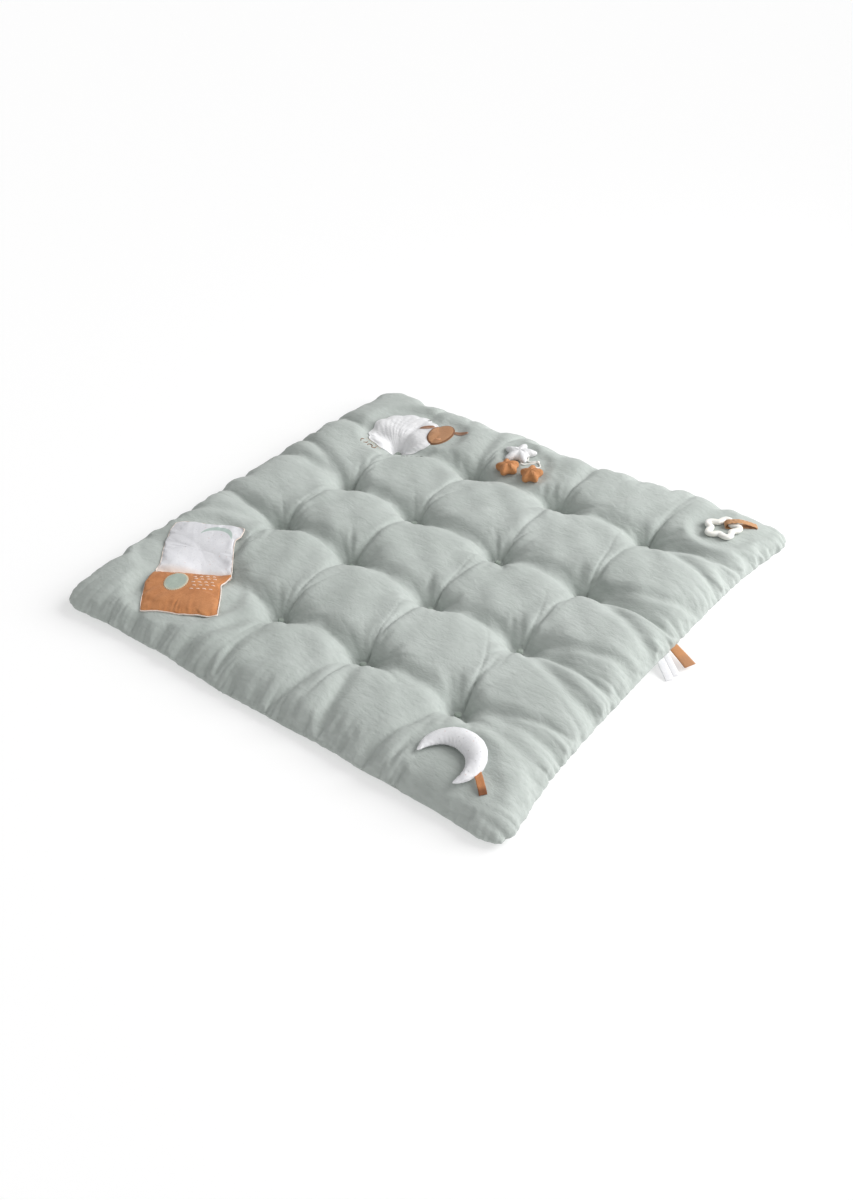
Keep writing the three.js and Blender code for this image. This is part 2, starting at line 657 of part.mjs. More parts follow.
// Lays a piece, made on its own level axes, on the slope of the mat at (x, y).
function layOnMat(geometry, spot, height, reach) {
  const slopeX = (matTopAt(spot.x + reach, spot.y) - matTopAt(spot.x - reach, spot.y)) / (2 * reach);
  const slopeY = (matTopAt(spot.x, spot.y + reach) - matTopAt(spot.x, spot.y - reach)) / (2 * reach);
  const upward = new THREE.Vector3(-slopeX, -slopeY, 1).normalize();
  const vertical = new THREE.Vector3(0, 0, 1);
  const lean = new THREE.Quaternion().setFromUnitVectors(vertical, upward);
  const turn = new THREE.Quaternion().setFromAxisAngle(vertical, (spot.turn ?? 0) * degree);
  const tip = new THREE.Quaternion().setFromAxisAngle(new THREE.Vector3(0, 1, 0), (spot.lean ?? 0) * degree);
  geometry.applyQuaternion(lean.multiply(turn).multiply(tip));
  return geometry.translate(spot.x, spot.y, matTopAt(spot.x, spot.y) + height);
}

// A puffed star: rings drawn in from a five-armed outline, fullest in the middle.
const starArms = 5;
function starRadius(radius, angle) {
  return radius * (1 + 0.25 * Math.cos(starArms * angle) + 0.05 * Math.cos(2 * starArms * angle));
}

function starGeometry(radius, half) {
  const around = starArms * 5;
  const shares = [1, 0.88, 0.5];
  const points = [];
  const faces = [];
  const ringAt = (share, side) => {
    const start = points.length;
    for (let k = 0; k < around; k += 1) {
      const angle = (k / around) * 2 * Math.PI;
      const reach = share * starRadius(radius, angle);
      const armSwell = 0.86 + 0.14 * Math.cos(starArms * angle) * (1 - share);
      const puff = half * Math.pow(1 - share * share, 0.55) * armSwell;
      points.push([reach * Math.cos(angle), reach * Math.sin(angle), side * puff]);
    }
    return start;
  };
  const rim = ringAt(1, 1);
  for (const side of [1, -1]) {
    let outer = rim;
    for (const share of shares.slice(1)) {
      const inner = ringAt(share, side);
      for (let k = 0; k < around; k += 1) {
        const next = (k + 1) % around;
        const quad = [outer + k, outer + next, inner + next, inner + k];
        if (side < 0) quad.reverse();
        faces.push([quad[0], quad[1], quad[2]], [quad[0], quad[2], quad[3]]);
      }
      outer = inner;
    }
    const peak = points.length;
    points.push([0, 0, side * half]);
    for (let k = 0; k < around; k += 1) {
      const next = (k + 1) % around;
      faces.push(side > 0 ? [outer + k, outer + next, peak] : [outer + next, outer + k, peak]);
    }
  }
  return closedGeometry(points, faces);
}

for (const star of stars) {
  const puffed = starGeometry(star.radius, star.half);
  layOnMat(puffed, star, star.half - starSink, star.radius * 0.7);
  addPiece(star.name, geometryOf(cutClear(puffed)), star.cloth);
}

const knotSpot = { x: cordKnot.x, y: cordKnot.y };
const cordKnotShape = new THREE.SphereGeometry(cordKnot.radius, 10, 6).rotateX(Math.PI / 2);
layOnMat(cordKnotShape, knotSpot, cordKnot.height - cordKnot.radius, 8);
addPiece('cord_knot', geometryOf(cutClear(cordKnotShape)), 'cord');

const cordSides = 8;
for (const { name, route } of cordRoutes) {
  const atOrigin = { x: 0, y: 0, turn: 0 };
  const section = new THREE.Shape(roundOutline(cordSides, oval(cordRadius, cordRadius), atOrigin));
  const extrudePath = new THREE.CatmullRomCurve3(route.map((point) => new THREE.Vector3(...point)));
  const steps = Math.round(extrudePath.getLength() / (4 * cordRadius));
  addPiece(name, new THREE.ExtrudeGeometry(section, { extrudePath, steps, bevelEnabled: false }), 'cord');
}

// Star ring: a limb of even width round a wavy loop, laid on the mat without sinking in.
function ringLoop(offset) {
  const around = starArms * 6;
  const middle = (starRing.armRadius + starRing.notchRadius) / 2;
  const swing = (starRing.armRadius - starRing.notchRadius) / 2;
  const points = [];
  for (let k = 0; k < around; k += 1) {
    const angle = (k / around) * 2 * Math.PI;
    const radius = middle + swing * Math.cos(starArms * angle);
    const growth = -swing * starArms * Math.sin(starArms * angle);
    const outward = new THREE.Vector2(
      radius * Math.cos(angle) + growth * Math.sin(angle),
      radius * Math.sin(angle) - growth * Math.cos(angle),
    ).normalize();
    const onLoop = new THREE.Vector2(radius * Math.cos(angle), radius * Math.sin(angle));
    points.push(onLoop.addScaledVector(outward, offset));
  }
  return points;
}

function ringGeometry() {
  const { bevel } = starRing;
  const shape = new THREE.Shape(ringLoop(starRing.limbHalf - bevel));
  shape.holes.push(new THREE.Path(ringLoop(bevel - starRing.limbHalf)));
  const depth = 2 * (starRing.half - bevel);
  const settings = { depth, bevelThickness: bevel, bevelSize: bevel, bevelSegments: 1 };
  const geometry = new THREE.ExtrudeGeometry(shape, settings).translate(0, 0, -depth / 2);
  geometry.deleteAttribute('normal');
  geometry.deleteAttribute('uv');
  return mergeVertices(geometry, 1e-4);
}

const ringPlaced = layOnMat(ringGeometry(), starRing, starRing.half, starRing.armRadius);
let sunk = 0;
for (let k = 0; k < ringPlaced.attributes.position.count; k += 1) {
  const [x, y, z] = [0, 1, 2].map((axis) => ringPlaced.attributes.position.getComponent(k, axis));
  sunk = Math.max(sunk, matTopAt(x, y) + clearance - z);
}
ringPlaced.translate(0, 0, sunk);
addPiece('star_ring', ringPlaced, 'ring');

// The ring's tape: from the mat over the limb, down inside the ring, and back under the limb.
const ringPiece = part.getObjectByName('star_ring');
function ringFaceAt(x, y, fromBelow) {
  downward.set(new THREE.Vector3(x, y, fromBelow ? 0 : 200), new THREE.Vector3(0, 0, fromBelow ? 1 : -1));
  return downward.intersectObject(ringPiece)[0].point.z;
}

const tapeTurn = ringTape.turn * degree;
const tapeSide = new THREE.Vector3(-Math.sin(tapeTurn), Math.cos(tapeTurn), 0);
const limbTop = ringFaceAt(ringTape.x, ringTape.y, false);
const limbUnder = ringFaceAt(ringTape.x, ringTape.y, true);
const slack = ringTape.thickness / 2 + ringTape.gap;
const ringTapePath = [
  { run: ringTape.toMat, from: 'mat', lift: ringTape.thickness * 2.2 },
  { run: 39, from: 'mat', lift: 6.5 },
  { run: 27, from: 'mat', lift: 10 },
  { run: 15, from: 'limb', lift: slack + 1.6 },
  { run: 4, from: 'limb', lift: slack + 2.2 },
  { run: -9, from: 'limb', lift: slack + 1 },
  { run: -14.5, from: 'limb', lift: -2 },
  { run: -14.5, from: 'under', lift: 1 },
  { run: -10, from: 'under', lift: -slack - 0.2 },
  { run: 6, from: 'under', lift: -slack - 0.4 },
  { run: 16, from: 'mat', lift: slack + 0.4 },
  { run: 27, from: 'mat', lift: slack },
  { run: 39, from: 'mat', lift: slack },
  { run: ringTape.toMat, from: 'mat', lift: slack },
].map(({ run, from, lift }) => {
  const x = ringTape.x + run * Math.cos(tapeTurn);
  const y = ringTape.y + run * Math.sin(tapeTurn);
  const base = { mat: matTopAt(x, y), limb: limbTop, under: limbUnder }[from];
  return new THREE.Vector3(x, y, base + lift);
});
const ringStrip = stripGeometry(
  ringTapePath,
  ringTapePath.map(() => ringTape.width),
  ringTape.thickness,
  tapeSide,
);
addPiece('ring_tape', geometryOf(cutClear(ringStrip)), 'rust');

// Moon: an oval section swept round most of a circle, thin at both tips.
function moonGeometry(swell) {
  const steps = 18;
  const around = 10;
  const points = [];
  const faces = [];
  for (let step = 1; step < steps; step += 1) {
    const share = step / steps;
    const turn = (moon.fromTurn + share * (moon.toTurn - moon.fromTurn)) * degree;
    const wide = moon.widest * Math.pow(Math.sin(share * Math.PI), 0.62) + swell;
    const thick = moon.half * Math.pow(Math.sin(share * Math.PI), 0.5) + swell;
    const middle = moon.outer - wide + swell;
    for (let k = 0; k < around; k += 1) {
      const angle = (k / around) * 2 * Math.PI;
      const reach = middle + wide * Math.cos(angle);
      points.push([reach * Math.cos(turn), reach * Math.sin(turn), thick * Math.sin(angle)]);
    }
  }
  const tips = [moon.fromTurn, moon.toTurn].map((angle) => {
    const reach = moon.outer - 1;
    points.push([reach * Math.cos(angle * degree), reach * Math.sin(angle * degree), 0]);
    return points.length - 1;
  });
  const rings = steps - 1;
  for (let k = 0; k < around; k += 1) {
    const next = (k + 1) % around;
    for (let ring = 0; ring + 1 < rings; ring += 1) {
      const near = ring * around;
      const far = near + around;
      faces.push([near + next, near + k, far + k], [near + next, far + k, far + next]);
    }
    faces.push([k, next, tips[0]]);
    faces.push([(rings - 1) * around + next, (rings - 1) * around + k, tips[1]]);
  }
  return closedGeometry(points, faces);
}

const moonPlaced = layOnMat(moonGeometry(0), moon, moon.half - moonSink, 34);
addPiece('moon', geometryOf(cutClear(moonPlaced)), 'cream');

const moonWithGap = solidOf(layOnMat(moonGeometry(clearance), moon, moon.half - moonSink, 34));
const moonTapeSteps = 7;
const moonTapePath = [];
for (let step = 0; step < moonTapeSteps; step += 1) {
  const share = step / (moonTapeSteps - 1);
  const x = moonTape.fromX + share * (moonTape.toX - moonTape.fromX);
  const y = moonTape.fromY + share * (moonTape.toY - moonTape.fromY);
  const arch = moonTape.arch * (Math.sin(share * Math.PI) + 1 - share);
  moonTapePath.push(new THREE.Vector3(x, y, matTopAt(x, y) + moonTape.thickness / 2 + arch));
}
const moonStrip = stripGeometry(moonTapePath, moonTapePath.map(() => moonTape.width), moonTape.thickness);
addPiece('moon_tape', geometryOf(cutClear(moonStrip).subtract(moonWithGap)), 'rust');

// Strips at the right rim: each leaves the seam and hangs down towards the floor.
const rimGrowth = 1.0009;
const matWidened = solidOf(matCushion.geometry.clone().scale(rimGrowth, rimGrowth, 1));
const strung = matWithGap.add(matWidened).add(matRaised(-clearance));
for (const strip of rimStrips) {
  const path = [];
  const steps = 6;
  for (let step = 0; step <= steps; step += 1) {
    const share = step / steps;
    const drop = Math.pow(share, 1.3);
    path.push(new THREE.Vector3(
      strip.root[0] + share * (strip.tip[0] - strip.root[0]),
      strip.root[1] + share * (strip.tip[1] - strip.root[1]),
      seamHeight * (1 - drop) + strip.tipZ * drop,
    ));
  }
  const widths = path.map((point, k) => strip.width + (k / steps) * (strip.tipWidth - strip.width));
  const cut = solidOf(stripGeometry(path, widths, strip.thickness)).subtract(strung);
  addPiece(strip.name, geometryOf(cut), strip.name === 'tape_tab' ? 'rust' : 'label');
}

export default part;
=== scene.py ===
import math

import bpy
import numpy as np
from mathutils import Matrix, Vector
from mathutils.bvhtree import BVHTree


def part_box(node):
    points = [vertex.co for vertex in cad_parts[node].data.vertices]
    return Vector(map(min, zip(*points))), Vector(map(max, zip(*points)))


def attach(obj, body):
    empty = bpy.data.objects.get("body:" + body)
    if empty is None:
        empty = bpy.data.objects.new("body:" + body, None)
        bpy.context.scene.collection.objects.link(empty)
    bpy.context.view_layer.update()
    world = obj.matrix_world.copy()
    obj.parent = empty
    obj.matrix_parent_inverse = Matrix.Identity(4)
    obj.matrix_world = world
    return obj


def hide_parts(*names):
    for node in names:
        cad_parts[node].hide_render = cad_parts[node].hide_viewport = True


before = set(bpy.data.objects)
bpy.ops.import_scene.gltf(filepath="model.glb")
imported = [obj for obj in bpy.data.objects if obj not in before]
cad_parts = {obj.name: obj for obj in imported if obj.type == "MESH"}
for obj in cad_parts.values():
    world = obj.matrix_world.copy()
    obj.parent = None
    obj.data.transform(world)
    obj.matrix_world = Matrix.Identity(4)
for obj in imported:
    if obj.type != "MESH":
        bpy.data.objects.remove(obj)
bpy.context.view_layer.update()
bpy.ops.object.select_all(action="DESELECT")
scene = bpy.context.scene
mm = 0.001

# camera
shot = {"azimuth": 38.2, "elevation": 37.7, "target": (0.0265, -0.0657, 0.0), "distance": 2.4547,
        "lens": 38.36, "sensor": 36.0, "clip": (0.05, 40)}


# the way that an azimuth and an elevation in degrees point, from the part
def directionOf(azimuth, elevation):
    turn, lift = math.radians(azimuth), math.radians(elevation)
    return Vector((math.sin(turn) * math.cos(lift), -math.cos(turn) * math.cos(lift), math.sin(lift)))


def addCamera():
    back = directionOf(shot["azimuth"], shot["elevation"])
    place = Vector(shot["target"]) + back * shot["distance"]
    bpy.ops.object.camera_add(location=place, rotation=(-back).to_track_quat("-Z", "Y").to_euler())
    camera = bpy.context.object
    camera.data.lens = shot["lens"]
    camera.data.sensor_width = shot["sensor"]
    camera.data.clip_start, camera.data.clip_end = shot["clip"]
    scene.camera = camera
    camera.select_set(False)


addCamera()
print("camera set")


# helpers for meshes
def newObject(name, points, faces):
    mesh = bpy.data.meshes.new(name)
    mesh.from_pydata([tuple(p) for p in points], [], [tuple(f) for f in faces])
    mesh.validate()
    mesh.update()
    mesh.polygons.foreach_set("use_smooth", [True] * len(mesh.polygons))
    piece = bpy.data.objects.new(name, mesh)
    scene.collection.objects.link(piece)
    return piece


def readVectors(spots, key):
    flat = np.empty(len(spots) * 3, np.float32)
    spots.foreach_get(key, flat)
    return flat.reshape(-1, 3).astype(float)


def meshPoints(piece):
    return readVectors(piece.data.vertices, "co")


def meshNormals(piece):
    return readVectors(piece.data.vertex_normals, "vector")


def readValues(piece, name):
    values = np.zeros(len(piece.data.vertices), np.float32)
    piece.data.attributes[name].data.foreach_get("value", values)
    return values.astype(float)


def setPoints(piece, points):
    piece.data.vertices.foreach_set("co", np.asarray(points, np.float32).ravel())
    piece.data.update()


def pickOnly(piece):
    bpy.ops.object.select_all(action="DESELECT")
    bpy.context.view_layer.objects.active = piece
    piece.select_set(True)


def subdivideOnce(piece):
    pickOnly(piece)
    bpy.ops.object.modifier_add(type="SUBSURF")
    modifier = piece.modifiers[-1]
    modifier.levels = modifier.render_levels = 1
    bpy.ops.object.modifier_apply(modifier=modifier.name)
    piece.select_set(False)


rayStart = 0.3  # the height that rays are cast down from, above all


def treeOf(piece):
    points = meshPoints(piece)
    faces = [tuple(face.vertices) for face in piece.data.polygons]
    return BVHTree.FromPolygons([tuple(p) for p in points], faces)


def heightOn(tree, x, y, otherwise=0.017):
    hit = tree.ray_cast(Vector((x, y, rayStart)), Vector((0, 0, -1)))[0]
    return otherwise if hit is None else hit.z


def heightsOn(tree, points, otherwise=0.017):
    return np.array([heightOn(tree, p[0], p[1], otherwise) for p in points])


# the higher of what is there and of a piece that lies on it
def higherOn(tree, points, bare):
    return np.maximum(bare, heightsOn(tree, points, otherwise=-1.0))


def ease(low, high, value):
    part = np.clip((value - low) / (high - low), 0, 1)
    return part * part * (3 - 2 * part)


# a round shoulder, 1 in the middle and 0 at the rim; a high power keeps it flat for longer
def domed(share, power=2):
    return np.sqrt(np.clip(1 - share ** power, 0, 1))


def roundTurn(count):
    return np.arange(count) / count * 2 * math.pi


# a place given along two axes that are turned, in the axes of the part
def onAxes(x, y, a, b, turn):
    turn = math.radians(turn)
    return x + a * math.cos(turn) - b * math.sin(turn), y + a * math.sin(turn) + b * math.cos(turn)


# above 0 where the points of an outline run anticlockwise
def windingOf(outline):
    following = np.roll(outline, -1, 0)
    return np.sum(outline[:, 0] * following[:, 1] - following[:, 0] * outline[:, 1])


def smoothPath(points, steps):
    points = np.asarray(points, float)
    padded = np.vstack([2 * points[0] - points[1], points, 2 * points[-1] - points[-2]])
    made = []
    for k in range(len(points) - 1):
        a, b, c, d = padded[k:k + 4]
        for part in np.arange(steps) / steps:
            made.append(0.5 * (2 * b + (c - a) * part + (2 * a - 5 * b + 4 * c - d) * part ** 2
                               + (3 * b - a - 3 * c + d) * part ** 3))
    made.append(points[-1])
    return np.array(made)


# points spaced evenly along a line
def evenly(points, count, closed=False):
    points = np.asarray(points, float)
    loop = np.vstack([points, points[:1]]) if closed else points
    run = np.concatenate([[0], np.cumsum(np.linalg.norm(np.diff(loop, axis=0), axis=1))])
    places = np.linspace(0, run[-1], count, endpoint=not closed)
    return np.column_stack([np.interp(places, run, loop[:, k]) for k in range(loop.shape[1])])


# evens out the corners of a closed line of evenly spaced points
def softened(points, passes):
    for _ in range(passes):
        points = (np.roll(points, 1, 0) + 2 * points + np.roll(points, -1, 0)) / 4
    return points


def runAlong(points):
    return np.concatenate([[0], np.cumsum(np.linalg.norm(np.diff(points, axis=0), axis=1))])


def addValues(piece, name, values):
    spot = piece.data.attributes.new(name, "FLOAT", "POINT")
    spot.data.foreach_set("value", np.asarray(values, np.float32))


# the way ahead, the side and the upward direction at each point of a path
def framesAlong(path, sideways=None):
    ahead = np.gradient(path, axis=0)
    ahead /= np.linalg.norm(ahead, axis=1)[:, None]
    side = np.cross([0.0, 0.0, 1.0], ahead) if sideways is None else np.broadcast_to(sideways, path.shape)
    side = side / np.linalg.norm(side, axis=1)[:, None]
    return ahead, side, np.cross(ahead, side)


# quads between the rings of a tube; turned ones face the other way
def tubeFaces(rings, sides, start=0, turned=False):
    faces = []
    for k in range(rings - 1):
        for i in range(sides):
            a, b = start + k * sides + i, start + k * sides + (i + 1) % sides
            faces.append((b, a, a + sides, b + sides) if turned else (a, b, b + sides, a + sides))
    return faces


tubeTip = 0.3  # how far a tube's end stands out, as a share of its height


# a tube of oval section along a path, drawn together at both ends
def addTube(name, path, widths, heights, sides, shape=None, sideways=None):
    path = np.asarray(path, float)
    count = len(path)
    ahead, side, upward = framesAlong(path, sideways)
    widths, heights = np.broadcast_to(widths, count), np.broadcast_to(heights, count)
    angles = roundTurn(sides)
    run = runAlong(path)
    points = []
    for k in range(count):
        swell = 1 if shape is None else shape(angles, run[k])
        points.extend(path[k] + np.outer(np.cos(angles) * widths[k] / 2 * swell, side[k])
                      + np.outer(np.sin(angles) * heights[k] / 2 * swell, upward[k]))
    faces = tubeFaces(count, sides)
    points.append(path[0] - ahead[0] * heights[0] * tubeTip)
    points.append(path[-1] + ahead[-1] * heights[-1] * tubeTip)
    last = (count - 1) * sides
    for i in range(sides):
        j = (i + 1) % sides
        faces.append((j, i, len(points) - 2))
        faces.append((last + i, last + j, len(points) - 1))
    return newObject(name, points, faces)


# a sewn shape of two cloths: rings drawn in from its outline, which is the seam
def addPillow(name, outline, shares, topOf, underOf):
    outline = np.asarray(outline, float)
    if windingOf(outline) < 0:
        outline = outline[::-1]
    count, middle = len(outline), outline.mean(axis=0)
    reach = np.linalg.norm(outline - middle, axis=1)
    edge = np.full(count, 1.0)
    height = (topOf(outline, edge) + underOf(outline, edge)) / 2
    points, inward, faces = [np.column_stack([outline, height])], [np.zeros(count)], []
    made = count
    for heightOf, isTop in ((topOf, True), (underOf, False)):
        outer = 0
        for share in shares[1:]:
            spots = middle + share * (outline - middle)
            points.append(np.column_stack([spots, heightOf(spots, np.full(count, share))]))
            inward.append((1 - share) * reach)
            for i in range(count):
                j = (i + 1) % count
                quad = (outer + i, outer + j, made + j, made + i)
                faces.append(quad if isTop else quad[::-1])
            outer = made
            made += count
        points.append(np.array([[*middle, heightOf(middle[None], np.zeros(1))[0]]]))
        inward.append(np.array([reach.mean()]))
        for i in range(count):
            j = (i + 1) % count
            faces.append((outer + i, outer + j, made) if isTop else (outer + j, outer + i, made))
        made += 1
    piece = newObject(name, np.vstack(points), faces)
    addValues(piece, "toEdge", np.concatenate(inward) / mm)
    return piece


stripAcross = 9  # points across a strip


# a flat strip of cloth along a path, with its two faces meeting in rounded sides
def addStrip(name, path, widths, thickness, sideways=None, curl=0.0):
    path = np.asarray(path, float)
    count = len(path)
    side, upward = framesAlong(path, sideways)[1:]
    widths = np.broadcast_to(widths, count)
    places = np.sin(np.linspace(-1, 1, stripAcross) * math.pi / 2)
    full = domed(np.abs(places), 6) * thickness / 2
    section = [(a, full[k]) for k, a in enumerate(places)]
    section += [(places[k], -full[k]) for k in range(stripAcross - 2, 0, -1)]
    sides = len(section)
    points = [path[k] + side[k] * a * widths[k] / 2 + upward[k] * (lift + curl * a * a)
              for k in range(count) for a, lift in section]
    faces = tubeFaces(count, sides, turned=True)
    for start, isStart in ((0, True), ((count - 1) * sides, False)):
        for i in range(stripAcross - 1):
            under = [(sides - k) % sides for k in (i, i + 1)]
            ring = list(dict.fromkeys([start + i, start + i + 1, start + under[1], start + under[0]]))
            faces.append(ring if isStart else ring[::-1])
    piece = newObject(name, points, faces)
    addValues(piece, "alongStrip", np.repeat(runAlong(path) / runAlong(path)[-1], sides))
    addValues(piece, "acrossStrip", np.tile([a for a, _ in section], count))
    return piece


# how a thread lies, as shares of its radius: how far it stands proud, dips and thins at its ends
threadForm = {"points": 9, "proud": 0.55, "dip": 1.5, "taper": 0.85, "least": 0.05}


# short threads, each an arc that dips into the cloth at both ends; places in millimetres
def addThreads(name, runs, heightAt, radius, slotName, key, sides=8):
    steps = threadForm["points"]
    angles, share = roundTurn(sides), np.linspace(-1, 1, steps)
    points, faces = [], []
    for run in runs:
        line = evenly(np.asarray(run, float) * mm, steps)
        sunk = radius * (threadForm["proud"] - threadForm["dip"] * share ** 4)
        spine = np.column_stack([line, heightAt(line) + sunk])
        side, upward = framesAlong(spine)[1:]
        start = len(points)
        for k in range(steps):
            thick = radius * math.sqrt(max(1 - threadForm["taper"] * share[k] ** 4, threadForm["least"]))
            points.extend(spine[k] + np.outer(np.cos(angles) * thick, side[k])
                          + np.outer(np.sin(angles) * thick, upward[k]))
        faces += tubeFaces(steps, sides, start)
        ends = list(range(start, start + sides))
        faces += [ends[::-1], [k + (steps - 1) * sides for k in ends]]
    return dress(newObject(name, points, faces), key, slotName)


# gives a piece its material and its body, and hides the CAD nodes that it stands for; the slot name is not
# used
def dress(piece, key, slotName, *nodes):
    piece.data.materials.clear()
    piece.data.materials.append(materials[key])
    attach(piece, "root")
    if nodes:
        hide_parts(*nodes)
    return piece


# helpers for materials
def linear(hexColour):
    values = [int(hexColour[k:k + 2], 16) / 255 for k in (0, 2, 4)]
    return (*[v / 12.92 if v <= 0.04045 else ((v + 0.055) / 1.055) ** 2.4 for v in values], 1)


def newMaterial(name, roughness, sheen, specular, more=None):
    material = bpy.data.materials.new(name)
    material.use_nodes = True
    shader = material.node_tree.nodes["Principled BSDF"]
    values = {"Roughness": roughness, "Sheen Weight": sheen, "Sheen Roughness": 0.6,
              "Specular IOR Level": specular, **(more or {})}
    for socket, value in values.items():
        shader.inputs[socket].default_value = value
    return material, material.node_tree, shader


# sets a socket's value, or joins another node's output to it
def feed(tree, socket, value):
    if isinstance(value, bpy.types.NodeSocket):
        tree.links.new(value, socket)
    else:
        socket.default_value = value


def addNode(tree, kind, inputs=None, **settings):
    node = tree.nodes.new(kind)
    for name, value in settings.items():
        setattr(node, name, value)
    for place, value in (inputs or {}).items():
        feed(tree, node.inputs[place], value)
    return node


def objectPlace(tree):
    return addNode(tree, "ShaderNodeTexCoord").outputs["Object"]


def onObject(tree, scale):
    return addNode(tree, "ShaderNodeMapping", {"Vector": objectPlace(tree), "Scale": scale}).outputs["Vector"]


def noise(tree, scale, detail=2, stretch=(1, 1, 1), distortion=0.0, rough=0.5):
    values = {"Vector": onObject(tree, stretch), "Scale": scale, "Detail": detail, "Roughness": rough,
              "Distortion": distortion}
    return addNode(tree, "ShaderNodeTexNoise", values).outputs["Fac"]


def ramp(tree, value, stops):
    node = addNode(tree, "ShaderNodeValToRGB", {"Fac": value})
    elements = node.color_ramp.elements
    while len(elements) < len(stops):
        elements.new(0.5)
    for element, (position, colour) in zip(elements, stops):
        element.position = position
        element.color = colour
    return node.outputs["Color"]


# two tones, from one to the other over the middle of a value's range
def twoTone(tree, value, low, shade, lit):
    return ramp(tree, value, [(low, linear(shade)), (1 - low, linear(lit))])


def mathOf(tree, operation, a, b, clamp=False):
    return addNode(tree, "ShaderNodeMath", {0: a, 1: b}, operation=operation, use_clamp=clamp).outputs[0]


def blended(tree, a, b, share):
    return mathOf(tree, "ADD", mathOf(tree, "MULTIPLY", a, share), mathOf(tree, "MULTIPLY", b, 1 - share))


# lays a colour over another one, by a mask and a strength
def tinted(tree, colour, mask, strength, hexColour):
    factor = mathOf(tree, "MULTIPLY", mask, strength, clamp=True)
    return addNode(tree, "ShaderNodeMix", {0: factor, 6: colour, 7: linear(hexColour)},
                   data_type="RGBA").outputs[2]


def bump(tree, shader, height, strength, distance, before=None):
    values = {"Strength": strength, "Distance": distance, "Height": height}
    if before is not None:
        values["Normal"] = before
    normal = addNode(tree, "ShaderNodeBump", values).outputs["Normal"]
    feed(tree, shader.inputs["Normal"], normal)
    return normal


def weave(tree, perMetre):
    split = addNode(tree, "ShaderNodeSeparateXYZ", {0: objectPlace(tree)})
    waves = []
    for axis in ("X", "Y"):
        turn = mathOf(tree, "MULTIPLY", split.outputs[axis], perMetre * 2 * math.pi)
        waves.append(addNode(tree, "ShaderNodeMath", {0: turn}, operation="SINE").outputs[0])
    return mathOf(tree, "MULTIPLY", *waves)


def gauzeMaterial(name, lit, shade, crinkle=1.0):
    material, tree, shader = newMaterial(name, roughness=0.95, sheen=0.15, specular=0.15)
    tint = blended(tree, noise(tree, 5, detail=3), noise(tree, 140, detail=3, stretch=(0.4, 1, 1)), 0.5)
    feed(tree, shader.inputs["Base Color"], twoTone(tree, tint, 0.32, shade, lit))
    soft = noise(tree, 70, detail=4, stretch=(0.45, 1, 1), distortion=0.5, rough=0.62)
    first = bump(tree, shader, soft, 0.55 * crinkle, 0.0035)
    small = noise(tree, 330, detail=3, stretch=(0.5, 1, 1), distortion=0.3)
    second = bump(tree, shader, small, 0.5 * crinkle, 0.0011, first)
    bump(tree, shader, weave(tree, 900), 0.25, 0.0002, second)
    return material


def readAttribute(tree, name):
    return addNode(tree, "ShaderNodeAttribute", attribute_name=name).outputs["Fac"]


# plain woven cotton: two tones, a weave of so many threads a metre, soft wrinkles, and what is laid over
def cottonMaterial(name, lit, shade, threads=900, wrinkle=0.4, over=None):
    material, tree, shader = newMaterial(name, roughness=0.92, sheen=0.1, specular=0.2)
    tint = blended(tree, noise(tree, 45, detail=3), noise(tree, 420), 0.55)
    colour = twoTone(tree, tint, 0.35, shade, lit)
    feed(tree, shader.inputs["Base Color"], colour if over is None else over(tree, colour))
    first = bump(tree, shader, noise(tree, 160, detail=3, distortion=0.4), wrinkle, 0.0009)
    bump(tree, shader, weave(tree, threads), 0.3, 0.0002, first)
    return material


# small specks in the cotton: cells a metre, share of the cells, strength, colour
cottonSpecks = [(130, 0.5, 0.32, "8f8a88"), (97, 0.4, 0.3, "c99f93")]
speckSize = 0.14


def specked(tree, colour):
    for perMetre, share, strength, hexColour in cottonSpecks:
        values = {"Vector": onObject(tree, (1, 1, 1)), "Scale": perMetre}
        cells = addNode(tree, "ShaderNodeTexVoronoi", values)
        near = mathOf(tree, "LESS_THAN", cells.outputs["Distance"], speckSize)
        split = addNode(tree, "ShaderNodeSeparateColor", {0: cells.outputs["Color"]})
        picked = mathOf(tree, "LESS_THAN", split.outputs[0], share)
        colour = tinted(tree, colour, mathOf(tree, "MULTIPLY", near, picked), strength, hexColour)
    return colour


def distanceFrom(tree, x, y):
    flat = addNode(tree, "ShaderNodeVectorMath", {0: objectPlace(tree), 1: (1, 1, 0)}, operation="MULTIPLY")
    return addNode(tree, "ShaderNodeVectorMath", {0: flat.outputs[0], 1: (x * mm, y * mm, 0)},
                   operation="DISTANCE").outputs["Value"]


# how far a place lies off a line in the plan, in metres
def offLine(tree, x, y, turn):
    across = (-math.sin(math.radians(turn)), math.cos(math.radians(turn)))
    off = addNode(tree, "ShaderNodeVectorMath", {0: objectPlace(tree), 1: (*across, 0)},
                  operation="DOT_PRODUCT")
    return mathOf(tree, "SUBTRACT", off.outputs["Value"], (x * across[0] + y * across[1]) * mm)


# 1 where a value is at full, 0 where it is at gone
def fadeOf(tree, value, full, gone):
    values = {"Value": value, "From Min": full, "From Max": gone, "To Min": 1, "To Max": 0}
    return addNode(tree, "ShaderNodeMapRange", values, interpolation_type="SMOOTHSTEP").outputs["Result"]


# a plain crescent printed on the white leaf, and the warm tint (glow) beside the rust leaf, which is painted
# shade warmed by the rust leaf's reflected colour
leafPrintAndPaintedShade = {"outer": (-383, -219, 33.5), "inner": (-377, -234, 37), "ink": "a9bab3", "blur": 0.0012,
             "glow": "dcb99b", "glowRun": 0.03, "spine": (-332, -329, 37.3)}


